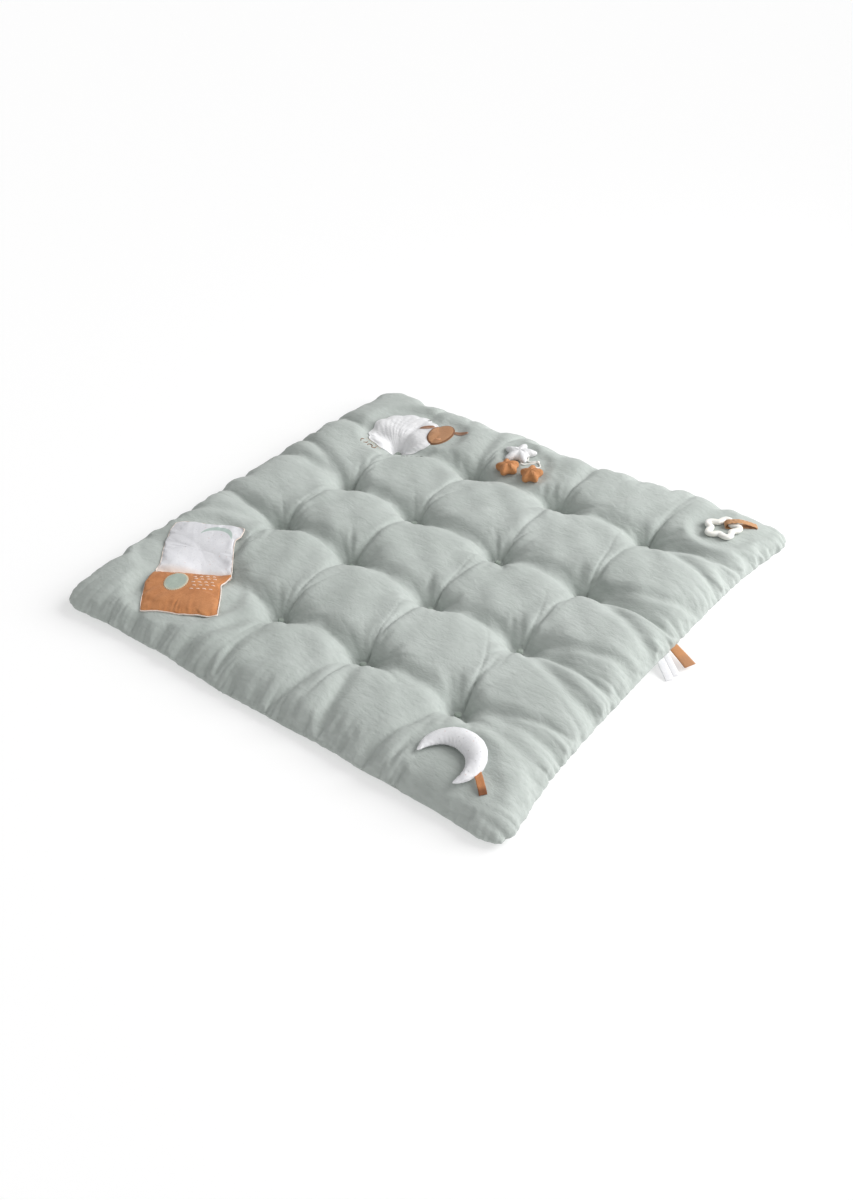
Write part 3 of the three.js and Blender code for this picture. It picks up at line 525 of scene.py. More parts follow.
def printedWithPaintedShade(tree, colour):
    (outerX, outerY, outerR), (innerX, innerY, innerR) = leafPrintAndPaintedShade["outer"], leafPrintAndPaintedShade["inner"]
    blur = leafPrintAndPaintedShade["blur"]
    inside = fadeOf(tree, distanceFrom(tree, outerX, outerY), outerR * mm - blur, outerR * mm)
    beyond = fadeOf(tree, distanceFrom(tree, innerX, innerY), innerR * mm, innerR * mm - blur)
    crescent = tinted(tree, specked(tree, colour), mathOf(tree, "MULTIPLY", inside, beyond), 0.9,
                      leafPrintAndPaintedShade["ink"])
    # painted warm shade on the white leaf along the rust leaf's spine
    near = fadeOf(tree, offLine(tree, *leafPrintAndPaintedShade["spine"]), 0.0, leafPrintAndPaintedShade["glowRun"])
    return tinted(tree, crescent, near, 0.55, leafPrintAndPaintedShade["glow"])


def streaked(tree, colour):
    streak = noise(tree, 60, detail=4, stretch=(1, 0.25, 1), distortion=0.5)
    mask = ramp(tree, streak, [(0.45, (0, 0, 0, 1)), (0.7, (1, 1, 1, 1))])
    return tinted(tree, colour, mask, 0.35, "9d6038")


# cloth with a band of another colour at so many millimetres from its seam: a dark stitched line on the head,
# a paler border on the cloud, and a painted highlight along the rim of each ear
def edgedCotton(name, lit, shade, edge, fromRun, toRun, strength):
    def edged(tree, colour):
        toEdge = readAttribute(tree, "toEdge")
        band = mathOf(tree, "SUBTRACT", fadeOf(tree, toEdge, toRun, toRun + 0.6),
                      fadeOf(tree, toEdge, fromRun - 0.6, fromRun))
        return tinted(tree, colour, band, strength, edge)

    return cottonMaterial(name, lit, shade, over=edged)


# woven tape, lit to shade along its length, with darker ribs across
def tapeMaterial(name, near, far, split):
    material, tree, shader = newMaterial(name, roughness=0.85, sheen=0.15, specular=0.25)
    stops = [(0.0, linear(near)), (split, linear(near)), (min(split + 0.15, 1.0), linear(far))]
    base = ramp(tree, readAttribute(tree, "alongStrip"), stops)
    feed(tree, shader.inputs["Base Color"], tinted(tree, base, noise(tree, 240, detail=3), 0.3, "8a5534"))
    first = bump(tree, shader, noise(tree, 190, detail=3), 0.45, 0.0008)
    bump(tree, shader, weave(tree, 1000), 0.35, 0.0003, first)
    return material


# an even finish: two tones in a noise, and one fine bump of another noise or of a weave
def plainMaterial(name, shade, lit, low, grain, relief, depth, *surface):
    material, tree, shader = newMaterial(name, *surface)
    feed(tree, shader.inputs["Base Color"], twoTone(tree, noise(tree, **grain), low, shade, lit))
    height = noise(tree, **relief) if "scale" in relief else weave(tree, relief["threads"])
    bump(tree, shader, height, *depth)
    return material


def threadMaterial(name, lit, shade):
    return plainMaterial(name, shade, lit, 0.35, {"scale": 900}, {"scale": 2200, "detail": 1}, (0.5, 0.0002),
                         0.8, 0.1, 0.25)


materials = {
    "sage": gauzeMaterial("sageGauze", "b8beba", "a9b0ab"),
    # the knots are of the mat's sage, made darker here as painted shade for the deep pits that they sit in
    "sageKnotPaintedShade": gauzeMaterial("sageKnotPaintedShade", "a0a9a1", "89938a", 0.6),
    "whiteGauze": gauzeMaterial("whiteGauze", "eaeaeb", "dddddf"),
    "brownHead": edgedCotton("brownHead", "b48866", "a47754", "6b4a34", 0.8, 3.4, 0.85),
    # the ears' pale band at the rim is a painted highlight
    "brownEar": edgedCotton("brownEar", "a37a60", "8d664e", "d9b9ab", 0.0, 1.6, 0.5),
    "whiteLeaf": cottonMaterial("whiteLeaf", "dcdcdf", "d2d2d6", wrinkle=0.35, over=printedWithPaintedShade),
    "rustLeaf": cottonMaterial("rustLeaf", "c88a5a", "b4774a", threads=800, wrinkle=0.5, over=streaked),
    "rustStar": cottonMaterial("rustStar", "cb9162", "b1764a", threads=1000, wrinkle=0.6),
    "whiteStar": cottonMaterial("whiteStar", "eaeaeb", "dededf"),
    "whiteMoon": cottonMaterial("whiteMoon", "ebebed", "e1e1e4", wrinkle=0.35, over=specked),
    "paleEdging": cottonMaterial("paleEdging", "f0e6de", "e2d0c4", threads=1200),
    "cloudGreen": edgedCotton("cloudGreen", "adb8ad", "9ba79d", "c3bda6", 0.4, 3.0, 0.7),
    "whiteCord": plainMaterial("whiteCord", "ddd9d1", "f4f2ee", 0.3, {"scale": 500, "detail": 3},
                               {"scale": 1400}, (0.4, 0.0003), 0.85, 0.1, 0.2),
    "ringTape": tapeMaterial("ringTape", "c29368", "b98d69", 0.6),
    "moonTape": tapeMaterial("moonTape", "c08254", "7f4f31", 0.72),
    "tabTape": tapeMaterial("tabTape", "cc9160", "bd8a62", 0.55),
    "satin": plainMaterial("labelSatin", "dfdfe2", "ededef", 0.3, {"scale": 300, "stretch": (1, 6, 1)},
                           {"threads": 1400}, (0.2, 0.00015), 0.42, 0.1, 0.45),
    "silicone": plainMaterial("ringSilicone", "f3f1ea", "faf8f3", 0.3, {"scale": 30}, {"scale": 700},
                              (0.12, 0.0002), 0.42, 0.0, 0.4,
                              {"Subsurface Weight": 0.12, "Subsurface Radius": (0.004, 0.0035, 0.003)}),
    "whiteThread": threadMaterial("whiteThread", "fbe9dd", "efd6c6"),
    "creamThread": threadMaterial("creamThread", "efe6d2", "d9ccb2"),
    "brownThread": threadMaterial("brownThread", "9a7f6c", "77604f"),
    "greyThread": threadMaterial("greyThread", "7d7f78", "5f625c"),
    "peachThread": threadMaterial("peachThread", "eab48c", "d89d76"),
}


# the three cords of the stars, from their knot; routes in millimetres
cordForm = {"radius": 1.5, "strands": 3, "strandDepth": 0.2, "twist": 7.0, "sides": 24, "steps": 6}
cordRoutes = {
    "cordWhite": ("cord_white", [
        (-46, 405.3, 55.4), (-47.5, 403, 55), (-49.1, 400.6, 54.9), (-51.1, 398.5, 54.8),
        (-53.5, 396.9, 54.7), (-56.1, 396.1, 54.7), (-58.7, 396.3, 54.7), (-60.9, 397.5, 54.7),
        (-62.5, 399.6, 54.9), (-63.5, 401.9, 55.5), (-63.8, 403.9, 56.3), (-64.1, 405.3, 57.2),
        (-64.3, 406.2, 58), (-64.4, 406.8, 58.6), (-64.5, 407.1, 59)]),
    "cordLeft": ("cord_left", [
        (-42.7, 402.3, 55.4), (-43.9, 399.9, 55), (-45.4, 397.5, 54.9), (-47.2, 395.2, 54.9),
        (-49.1, 393, 54.8), (-51.1, 390.8, 54.8), (-53, 388.6, 54.7), (-54.8, 386.3, 54.7),
        (-56.5, 384, 54.9), (-58, 381.6, 55.4), (-59.4, 379.3, 56.3), (-60.6, 377.2, 57.5),
        (-61.6, 375.6, 58.8), (-62.4, 374.3, 59.9), (-62.9, 373.4, 60.7)]),
    "cordRight": ("cord_right", [
        (-37, 404, 55.5), (-34.6, 402.4, 55.4), (-32.1, 400.7, 55.3), (-29.8, 398.8, 55.3),
        (-27.9, 396.6, 55.3), (-26.6, 394.1, 55.3), (-26, 391.4, 55.3), (-26.1, 388.7, 55.4),
        (-26.9, 386.2, 55.8), (-27.9, 384, 56.8), (-28.9, 382.2, 58), (-29.8, 380.7, 59.2),
        (-30.5, 379.5, 60.2), (-31, 378.7, 61), (-31.3, 378.1, 61.5)]),
}


def addCords():
    strands, depth, width = cordForm["strands"], cordForm["strandDepth"], cordForm["radius"] * 2 * mm

    def twisted(angles, run):
        turn = angles * strands / 2 - run / mm * math.pi * strands / cordForm["twist"]
        return 1 - depth * (1 - np.abs(np.cos(turn)))

    for name, (node, route) in cordRoutes.items():
        path = smoothPath(np.array(route) * mm, cordForm["steps"])
        cord = addTube(name, path, width, width, cordForm["sides"], shape=twisted)
        dress(cord, "whiteCord", "white_cord", node)


addCords()
print("cords laid")

# floor and light; the floor's own glow keeps the shadows pale
stageForm = {"size": 14, "below": 0.0004, "grey": 0.5, "glow": 0.5, "world": 0.41}


def addStage():
    bpy.ops.mesh.primitive_plane_add(size=stageForm["size"], location=(0, 0, -stageForm["below"]))
    floor = bpy.context.object
    floor.name = "floor"
    grey = stageForm["grey"]
    material = newMaterial("paleFloor", 0.9, 0.0, 0.0, {
        "Base Color": (grey, grey, grey, 1), "Emission Color": (1, 1, 1, 1),
        "Emission Strength": stageForm["glow"]})[0]
    floor.data.materials.append(material)
    floor.select_set(False)


sunLights = [
    {"name": "keyLight", "azimuth": 142, "elevation": 36, "spread": 38, "strength": 2.18},
    {"name": "sideLight", "azimuth": 98, "elevation": 26, "spread": 50, "strength": 0.75},
    {"name": "fillLight", "azimuth": -40, "elevation": 40, "spread": 90, "strength": 0.2},
]
# a near light beyond the right corner, in metres and watts
windowLight = {"at": (1.25, 1.1, 0.75), "towards": (0.4, 0.4, 0.03), "size": 0.7, "power": 9.0}


def addLamp(name, kind, place, towards, size, power):
    turn = towards.to_track_quat("Z", "Y").to_euler()
    bpy.ops.object.light_add(type=kind, location=place, rotation=turn)
    lamp = bpy.context.object
    lamp.name = name
    setattr(lamp.data, "angle" if kind == "SUN" else "size", size)
    lamp.data.energy = power
    lamp.select_set(False)


def addLights():
    scene.world = bpy.data.worlds.new("studio")
    scene.world.use_nodes = True
    background = scene.world.node_tree.nodes["Background"]
    background.inputs["Color"].default_value = (1, 1, 1, 1)
    background.inputs["Strength"].default_value = stageForm["world"]
    for light in sunLights:
        towards = directionOf(light["azimuth"], light["elevation"])
        addLamp(light["name"], "SUN", towards * 3, towards, math.radians(light["spread"]), light["strength"])
    towards = Vector(windowLight["at"]) - Vector(windowLight["towards"])
    addLamp("windowLight", "AREA", windowLight["at"], towards, windowLight["size"], windowLight["power"])
    scene.view_settings.view_transform = "Standard"


addStage()
addLights()
print("floor and lights set")

# the filled mat, sizes in millimetres
matForm = {
    "fifths": 5, "fifth": 200.0, "corner": 46.0, "crown": 53.0, "seam": 17.0, "shoulderRun": 92.0,
    "shoulderPower": 2.3, "pitFloor": 15.0, "knot": 6.5, "underRun": 24.0, "underDimple": 6.0,
    "cell": 5.0, "rimSteps": (1.0, 1.6, 2.2, 2.8, 3.4, 4.0), "underStep": 4,
    "neck": (17.0, 15.0), "bowl": (13.0, 52.0), "valley": (9.0, 24.0), "crease": (6.0, 9.0),
    "gathers": {"near": 2.6, "right": 4.2, "back": 1.5, "left": 1.8}, "gatherFade": 34.0,
    "dimpleSpread": 300, "cornerSag": (0.3, 80), "rimHold": 60, "underToys": 0.25,
}
# a row of the lattice at a time, from the near rim to the back rim
latticeX = np.array([
    [-486, -327, -135, 67, 279, 504], [-527, -327, -135, 67, 279, 488],
    [-535, -332, -144, 63, 266, 481], [-540, -322, -140, 75, 273, 479],
    [-536, -339, -138, 72, 280, 480], [-520, -338, -135, 72, 282, 495]], float)
latticeY = np.array([
    [-499, -496, -493, -490, -489, -484], [-283, -283, -298, -300, -300, -292],
    [-88, -83, -89, -101, -97, -95],
    [108, 111, 105, 100, 104, 110], [300, 296, 306, 314, 322, 322], [495, 496, 511, 514, 538, 506]], float)
tufts = [(row, column) for row in range(1, matForm["fifths"]) for column in range(1, matForm["fifths"])]
# long folds: from x, y, to x, y, depth, width
longFolds = [
    (290, -290, 470, -250, 7, 13), (290, -310, 470, -345, 6, 15), (285, -110, 468, -190, 8, 14),
    (285, -97, 465, -120, 9, 12), (280, -80, 462, -40, 8, 13), (290, 95, 462, 25, 9, 13),
    (292, 104, 462, 90, 10, 13), (290, 118, 464, 170, 8, 14), (298, 312, 466, 262, 8, 14),
    (300, 325, 466, 342, 7, 14), (-318, -300, -400, -470, 6, 16), (-135, -315, -205, -478, 7, 15),
    (-130, -315, -110, -478, 6, 14), (60, -318, 20, -476, 7, 15), (78, -318, 128, -478, 6, 15),
    (270, -318, 230, -474, 6, 15), (-345, -83, -520, -62, 8, 15), (-340, -95, -515, -160, 5, 16),
    (-335, 115, -524, 190, 8, 15), (-350, 300, -522, 322, 5, 15), (-145, 322, -190, 490, 5, 15),
    (75, 330, 60, 495, 5, 15)]


def alongCurve(values, place):
    last = len(values) - 1
    padded = np.stack([2 * values[0] - values[1], *values, 2 * values[last] - values[last - 1]])
    step = np.clip(np.floor(place), 0, last - 1).astype(int)
    part = place - step
    a, b, c, d = [np.take_along_axis(padded, (step + k)[None], 0)[0] for k in range(4)]
    return ((2 * part ** 3 - 3 * part ** 2 + 1) * b + (part ** 3 - 2 * part ** 2 + part) * (c - a) / 2
            + (3 * part ** 2 - 2 * part ** 3) * c + (part ** 3 - part ** 2) * (d - b) / 2)


def roundCorner(s, t):
    half = matForm["fifths"] / 2
    reach = matForm["corner"] / matForm["fifth"]
    sideS, sideT = np.where(s < half, -1, 1), np.where(t < half, -1, 1)
    outS, outT = (s - half) * sideS - (half - reach), (t - half) * sideT - (half - reach)
    inCorner = (outS > 0) & (outT > 0)
    drawnS = outS * (1 - np.sqrt(np.clip(1 - outT ** 2 / (2 * reach ** 2), 0, 1)))
    drawnT = outT * (1 - np.sqrt(np.clip(1 - outS ** 2 / (2 * reach ** 2), 0, 1)))
    return np.where(inCorner, s - sideS * drawnS, s), np.where(inCorner, t - sideT * drawnT, t)


def planPoint(s, t):
    s, t = roundCorner(s, t)
    ones = np.ones_like(s)
    xs = [alongCurve([v * ones for v in row], s) for row in latticeX]
    ys = [alongCurve([v * ones for v in row], s) for row in latticeY]
    return alongCurve(xs, t), alongCurve(ys, t)


def shoulder(run):
    left = 1 - np.minimum(run / matForm["shoulderRun"], 1)
    return (1 - left ** matForm["shoulderPower"]) ** (1 / matForm["shoulderPower"])


def ripple(distance):
    return (0.5 * np.sin(distance / 9.7) + 0.3 * np.sin(distance / 15.1 + 2)
            + 0.2 * np.sin(distance / 6.3 + 1))


# how far a place is from the nearest rim, and from each tuft, in millimetres
def rimRun(s, t):
    fifths = matForm["fifths"]
    return np.minimum(np.minimum(s, fifths - s), np.minimum(t, fifths - t)) * matForm["fifth"]


def tuftRuns(x, y):
    return [np.hypot(x - latticeX[tuft], y - latticeY[tuft]) for tuft in tufts]


def topHeight(s, t, x, y):
    form, fifths, fifth = matForm, matForm["fifths"], matForm["fifth"]
    runS, runT = np.minimum(s, fifths - s) * fifth, np.minimum(t, fifths - t) * fifth
    loft = form["crown"] + 2.4 * np.sin(1.7 * s + 2.3 * t) + 1.6 * np.sin(3.1 * s - 1.9 * t + 1)
    offX = np.abs(s - np.clip(np.round(s), 1, fifths - 1)) * fifth
    offY = np.abs(t - np.clip(np.round(t), 1, fifths - 1)) * fifth
    valleyDepth, valleyWidth = form["valley"]
    creaseDepth, creaseRun = form["crease"]
    loft -= valleyDepth * np.exp(-(offY / valleyWidth) ** 2) * (0.7 + 0.3 * np.minimum(runS / fifth, 1))
    loft -= creaseDepth * np.exp(-offX / creaseRun) * np.minimum(runT / fifth + 0.1, 1)
    for reach in tuftRuns(x, y):
        past = np.maximum(reach - form["knot"] - 1, 0)
        for depth, run in (form["neck"], form["bowl"]):
            loft -= depth * np.exp(-past / run)
    for fromX, fromY, toX, toY, depth, width in longFolds:
        runX, runY = toX - fromX, toY - fromY
        part = np.clip(((x - fromX) * runX + (y - fromY) * runY) / (runX ** 2 + runY ** 2), 0, 1)
        away = np.hypot(x - fromX - part * runX, y - fromY - part * runY)
        loft -= depth * np.exp(-(away / width) ** 2)
    share, fade = form["cornerSag"]
    sag = 1 - share * np.exp(-(runS + runT) / fade)
    rise = shoulder(runS) * shoulder(runT) * sag
    height = form["seam"] + (np.maximum(loft, form["pitFloor"]) - form["seam"]) * rise
    gathers, fade = form["gathers"], form["gatherFade"]
    swell = (gathers["near"] * ripple(x) * np.exp(-t * fifth / fade)
             + gathers["right"] * ripple(y + 40) * np.exp(-(fifths - s) * fifth / fade)
             + gathers["back"] * ripple(x + 70) * np.exp(-(fifths - t) * fifth / fade)
             + gathers["left"] * ripple(y + 110) * np.exp(-s * fifth / fade))
    return height + swell * np.minimum(rise * 3, 1)


# pleats that run out of a tuft, in degrees and millimetres: the way they point, reach, depth, width
tuftPleats = [(79, 92, 8.5, 6), (103, 70, 6.5, 6), (258, 84, 7.5, 6), (281, 96, 7.5, 6), (3, 80, 6, 9),
              (184, 78, 6, 9), (32, 48, 4.5, 6), (55, 44, 4, 5), (128, 50, 4.5, 6), (152, 46, 4, 6),
              (208, 48, 4.5, 6), (233, 44, 4, 6), (307, 48, 4.5, 6), (331, 50, 4.5, 7)]
# creases that the tufts draw into the filled cloth, in the same columns
tuftCreases = [(90, 135, 9.5, 2.6), (267, 80, 6.0, 3.0), (20, 96, 5.5, 6.0), (158, 92, 5.0, 6.0),
               (340, 70, 4.0, 5.0), (200, 72, 4.0, 5.0), (58, 66, 3.5, 3.5), (122, 62, 3.5, 3.5),
               (2, 80, 3.0, 9.0), (180, 80, 3.0, 9.0)]
# how far the rows between tufts and the ring round a tuft are drawn down: depth, half width
drawnDown = {"valley": (8.5, 17.0), "column": (5.5, 26.0), "ring": (7.5, 8.0), "least": 9.0}
# soft unevenness of the filled cloth: height, wave lengths in x and y, shift
uneven = [(1.8, 131, 118, 0.4), (1.2, 83, 149, 2.1)]
# how far the rims reach past the sewn square: x along the near rim, outwards, downwards
nearReach = {"x": (-480, -300, -90, 150, 350, 500), "out": (4, 7, 12, 9, 8, 4), "down": (1, 3, 8, 6, 5, 4)}
# and the corners: x, y, then how far each is drawn out in x, y, z
cornerReach = [(-486, -499, -15, -11, 0), (504, -484, 11, -10, -3), (495, 506, 10, 16, 6),
               (-520, 495, -3, 5, 3)]
cornerRun = 95
underCloth = 0.003  # up to this height, in metres, the cloth is taken to rest on the floor


def pleatDepth(x, y, pleats, seed):
    random = np.random.default_rng(seed)
    total = np.zeros_like(x)
    for tuft in tufts:
        offX, offY = x - latticeX[tuft], y - latticeY[tuft]
        for angle, reach, depth, width in pleats:
            turn = math.radians(angle + random.normal(0, 5))
            reach = reach * random.uniform(0.7, 1.3)
            depth = depth * random.uniform(0.6, 1.25)
            bend = random.normal(0, 0.0012)
            out = offX * math.cos(turn) + offY * math.sin(turn)
            side = -offX * math.sin(turn) + offY * math.cos(turn) + bend * out ** 2
            spread = width * (0.45 + 0.55 * np.clip(out / reach, 0, 1.5))
            groove = np.exp(-np.abs(side) / spread) * np.exp(-np.clip(out, 0, None) / (0.45 * reach))
            total += depth * groove * ease(2, 12, out)
    return total


def underHeight(s, t):
    fifth, run = matForm["fifth"], rimRun(s, t)
    lift = matForm["seam"] * np.maximum(1 - run / matForm["underRun"], 0) ** 2
    awayS, awayT = np.abs(s - np.round(s)) * fifth, np.abs(t - np.round(t)) * fifth
    dimple = matForm["underDimple"] * np.exp(-(awayS ** 2 + awayT ** 2) / matForm["dimpleSpread"])
    return np.where(run > fifth / 2, dimple, lift)


# the lines of the mat's grid, closer at the rims; their number suits the coarser underside
def latticeLines():
    fifth, fifths, step = matForm["fifth"], matForm["fifths"], matForm["underStep"]
    near = np.concatenate([[0], np.cumsum(matForm["rimSteps"])]) / fifth
    cells = int(round((fifths - 2 * near[-1]) * fifth / matForm["cell"] / step)) * step
    cells += -(cells + 2 * (len(near) - 1)) % step
    middle = np.linspace(near[-1], fifths - near[-1], cells + 1)
    return np.concatenate([near[:-1], middle, (fifths - near[:-1])[::-1]])


# discs that the toys lie on, in millimetres: x, y, radius
toyDiscs = [(-410, -265, 92), (-305, -365, 92), (-89, 408, 26), (-78, 347, 20), (-20, 351, 20),
            (-41, 407, 14), (-52, 395, 16), (-30, 388, 14), (390, 426, 50), (424, 464, 32), (357, -422, 54),
            (421, -434, 22), (-352, 333, 84), (-280, 375, 40)]
toyFade = 28  # how far the creases take to come back beyond a toy


def toyMask(points):
    mask = np.ones(len(points))
    for x, y, radius in toyDiscs:
        away = np.hypot(points[:, 0] / mm - x, points[:, 1] / mm - y)
        mask = np.minimum(mask, ease(radius, radius + toyFade, away))
    return mask


def addMat():
    lines = latticeLines()
    count = len(lines)
    s, t = [a.ravel() for a in np.meshgrid(lines, lines)]
    x, y = planPoint(s, t)
    held, bare = ease(0, matForm["rimHold"], rimRun(s, t)), matForm["underToys"]
    clear = bare + (1 - bare) * toyMask(np.column_stack([x, y]) * mm)
    height = topHeight(s, t, x, y) - pleatDepth(x, y, tuftPleats, 7) * held * clear
    points = np.column_stack([x, y, np.maximum(height, matForm["pitFloor"] * held)])
    index = np.arange(count * count).reshape(count, count)
    faces = np.column_stack([index[:-1, :-1].ravel(), index[:-1, 1:].ravel(),
                             index[1:, 1:].ravel(), index[1:, :-1].ravel()]).tolist()
    step, rims = matForm["underStep"], (0, count - 1)
    under, extra = {}, []

    # the underside has its own points, apart from the rim's
    def underIndex(i, j):
        if i in rims or j in rims:
            return int(index[j, i])
        if (i, j) not in under:
            k = index[j, i]
            under[i, j] = len(points) + len(extra)
            extra.append((x[k], y[k], float(underHeight(s[k], t[k]))))
        return under[i, j]

    for j in range(0, count - 1, step):
        for i in range(0, count - 1, step):
            corners = [(i, j), (i, j + step), (i + step, j + step), (i + step, j)]
            ring = []
            for k in range(4):
                (a, b), (c, d) = corners[k], corners[(k + 1) % 4]
                ring.append((a, b))
                if (a == c and a in rims) or (b == d and b in rims):
                    ring += [(a + (c > a) * n - (c < a) * n, b + (d > b) * n - (d < b) * n)
                             for n in range(1, step)]
            faces.append([underIndex(a, b) for a, b in ring])
    mat = newObject("matCushion", np.vstack([points, np.array(extra)]) * mm, faces)
    for name, values in (("placeS", s), ("placeT", t)):
        addValues(mat, name, np.concatenate([values, [values[index[j, i]] for i, j in under]]))
    addValues(mat, "topCloth", np.concatenate([np.ones(count * count), np.zeros(len(extra))]))
    return mat, count, s, t


mat, lineCount, latticeS, latticeT = addMat()
print("mat laid out:", len(mat.data.vertices), "points")

# how the cloth is let out and filled, sizes in metres
matCloth = {"pressure": 4.0, "spare": 0.05, "cap": 0.009, "capUnderToys": 0.0004, "frames": 22,
            "quality": 5, "tension": 12, "bending": 0.12, "rimSeam": 0.2}
clothMass, clothShear = 0.3, 4


def settleCloth(piece, pins, cap, cloth):
    rest = meshPoints(piece)
    group = piece.vertex_groups.new(name="pinned")
    for weight in np.unique(pins):
        if weight > 0:
            group.add(np.flatnonzero(pins == weight).tolist(), float(weight), "REPLACE")
    pickOnly(piece)
    bpy.ops.object.modifier_add(type="CLOTH")
    modifier = piece.modifiers[-1]
    settings = modifier.settings
    settings.vertex_group_mass = "pinned"
    settings.quality = cloth["quality"]
    settings.mass = clothMass
    settings.tension_stiffness = settings.compression_stiffness = cloth["tension"]
    settings.shear_stiffness = clothShear
    settings.bending_stiffness = cloth["bending"]
    settings.air_damping = 1
    settings.use_pressure = True
    settings.uniform_pressure_force = cloth["pressure"]
    settings.shrink_min = -cloth["spare"]
    settings.effector_weights.gravity = 0
    modifier.collision_settings.use_collision = False
    modifier.point_cache.frame_start, modifier.point_cache.frame_end = 1, cloth["frames"]
    for number in range(1, cloth["frames"] + 1):
        scene.frame_set(number)
    bpy.ops.object.modifier_apply(modifier=modifier.name)
    scene.frame_set(1)
    piece.select_set(False)
    piece.vertex_groups.clear()
    moved = meshPoints(piece) - rest
    length = np.maximum(np.linalg.norm(moved, axis=1), 1e-9)
    held = cap * np.tanh(length / np.maximum(cap, 1e-9))
    print(f"{piece.name}: moved up to {length.max() / mm:.1f} mm, {length.mean() / mm:.1f} mm on the whole")
    return rest + moved * (held / length)[:, None]


def fillMat():
    points = meshPoints(mat)
    topCount = lineCount * lineCount
    pins = np.ones(len(points))
    x, y = points[:topCount, 0] / mm, points[:topCount, 1] / mm
    onTuft = np.min(tuftRuns(x, y), axis=0) < matForm["knot"] + 1
    pins[:topCount] = np.where((rimRun(latticeS, latticeT) > matCloth["rimSeam"]) & ~onTuft, 0, 1)
    cap = matCloth["capUnderToys"] + (matCloth["cap"] - matCloth["capUnderToys"]) * toyMask(points)
    setPoints(mat, settleCloth(mat, pins, cap, matCloth))


# fine gathers at each rim, sizes in millimetres: spacing, depth, run in from the rim, slant
rimGathers = {
    "near": [(11.5, 2.6, 26, 0.10), (27, 3.6, 40, 0.22), (6.7, 1.3, 20, 0.0)],
    "right": [(19, 3.4, 34, 0.30), (43, 5.0, 55, 0.45), (8.3, 1.2, 18, 0.1)],
    "back": [(14, 1.6, 24, 0.15), (37, 2.6, 34, 0.3)],
    "left": [(12.5, 1.8, 24, 0.15), (31, 2.8, 36, 0.3)],
}
# lifts along the near rim: x, half width, height
rimLift = [(-232, 30, 6.5), (-165, 26, 4), (-40, 40, 2), (160, 60, 2)]


def gatherDepth(along, run, pleats, shift):
    total = np.zeros_like(along)
    for spacing, depth, reach, slant in pleats:
        wander = (0.35 * spacing * np.sin(along / (4.3 * spacing) + shift)
                  + 0.2 * spacing * np.sin(along / 29 + 2 * shift))
        phase = (along + wander + slant * run * np.sin(along / 61 + shift)) * math.pi / spacing
        groove = (1 - np.abs(np.sin(phase))) ** 1.6 - 0.22
        strength = 0.55 + 0.45 * np.sin(along / (2.6 * spacing) + 3 * shift) * np.sin(along / 83 + shift)
        fade = reach * (0.7 + 0.5 * np.sin(along / 17 + shift) ** 2)
        total += depth * groove * strength * np.exp(-run / fade)
    return total


# the deep rows between the tufts, and the hollow ring round each one
def drawnDepth(x, y, s, t):
    fifths, fifth = matForm["fifths"], matForm["fifth"]
    depth, width = drawnDown["valley"]
    offRow = (t - np.clip(np.round(t), 1, fifths - 1)) * fifth
    toTuft = np.abs(s - np.round(s)) * fifth
    bow = 9 * (1 - np.exp(-(toTuft / 45) ** 2))
    inside = ease(0.1, 0.75, np.minimum(s, fifths - s))
    total = depth * np.exp(-((offRow - bow) / width) ** 2) * (0.8 + 0.2 * np.sin(2.9 * s + 4.7 * t)) * inside
    raised, wide = drawnDown["column"]
    offColumn = (s - np.clip(np.round(s), 1, fifths - 1)) * fifth
    fromTuft = (t - np.round(t)) * fifth
    total -= (raised * np.exp(-(offColumn / wide) ** 2) * (1 - np.exp(-(fromTuft / 48) ** 2))
              * ease(0.2, 0.9, np.minimum(t, fifths - t)))
    depth, width = drawnDown["ring"]
    for reach in tuftRuns(x, y):
        past = reach - matForm["knot"]
        total += depth * np.exp(-np.maximum(past, 0) / width) * ease(-2, 1.5, past)
    for height, longX, longY, shift in uneven:
        waveX = np.sin(2 * math.pi * x / longX + 1.3 * np.sin(y / 47 + shift))
        waveY = np.sin(2 * math.pi * y / longY + 1.1 * np.sin(x / 53 - shift))
        total += height * waveX * waveY * inside
    return total


# draws the near rim and the corners out to where the filled cloth bulges
def reachOut(points, x, y, t):
    run = t * matForm["fifth"]
    out = np.interp(x, nearReach["x"], nearReach["out"]) * np.exp(-(run / 60) ** 2)
    down = np.interp(x, nearReach["x"], nearReach["down"]) * np.exp(-(run / 26) ** 2)
    points[:, 1] -= out * mm
    points[:, 2] -= np.minimum(down * mm, np.maximum(points[:, 2] - underCloth, 0))
    for cornerX, cornerY, *reach in cornerReach:
        share = np.exp(-((x - cornerX) ** 2 + (y - cornerY) ** 2) / cornerRun ** 2)
        lifted = points[:, 2] > underCloth
        for axis, length in enumerate(reach):
            points[:, axis] += length * mm * share * (lifted if axis == 2 else 1)
    points[:, 2] = np.maximum(points[:, 2], 0)
    return points


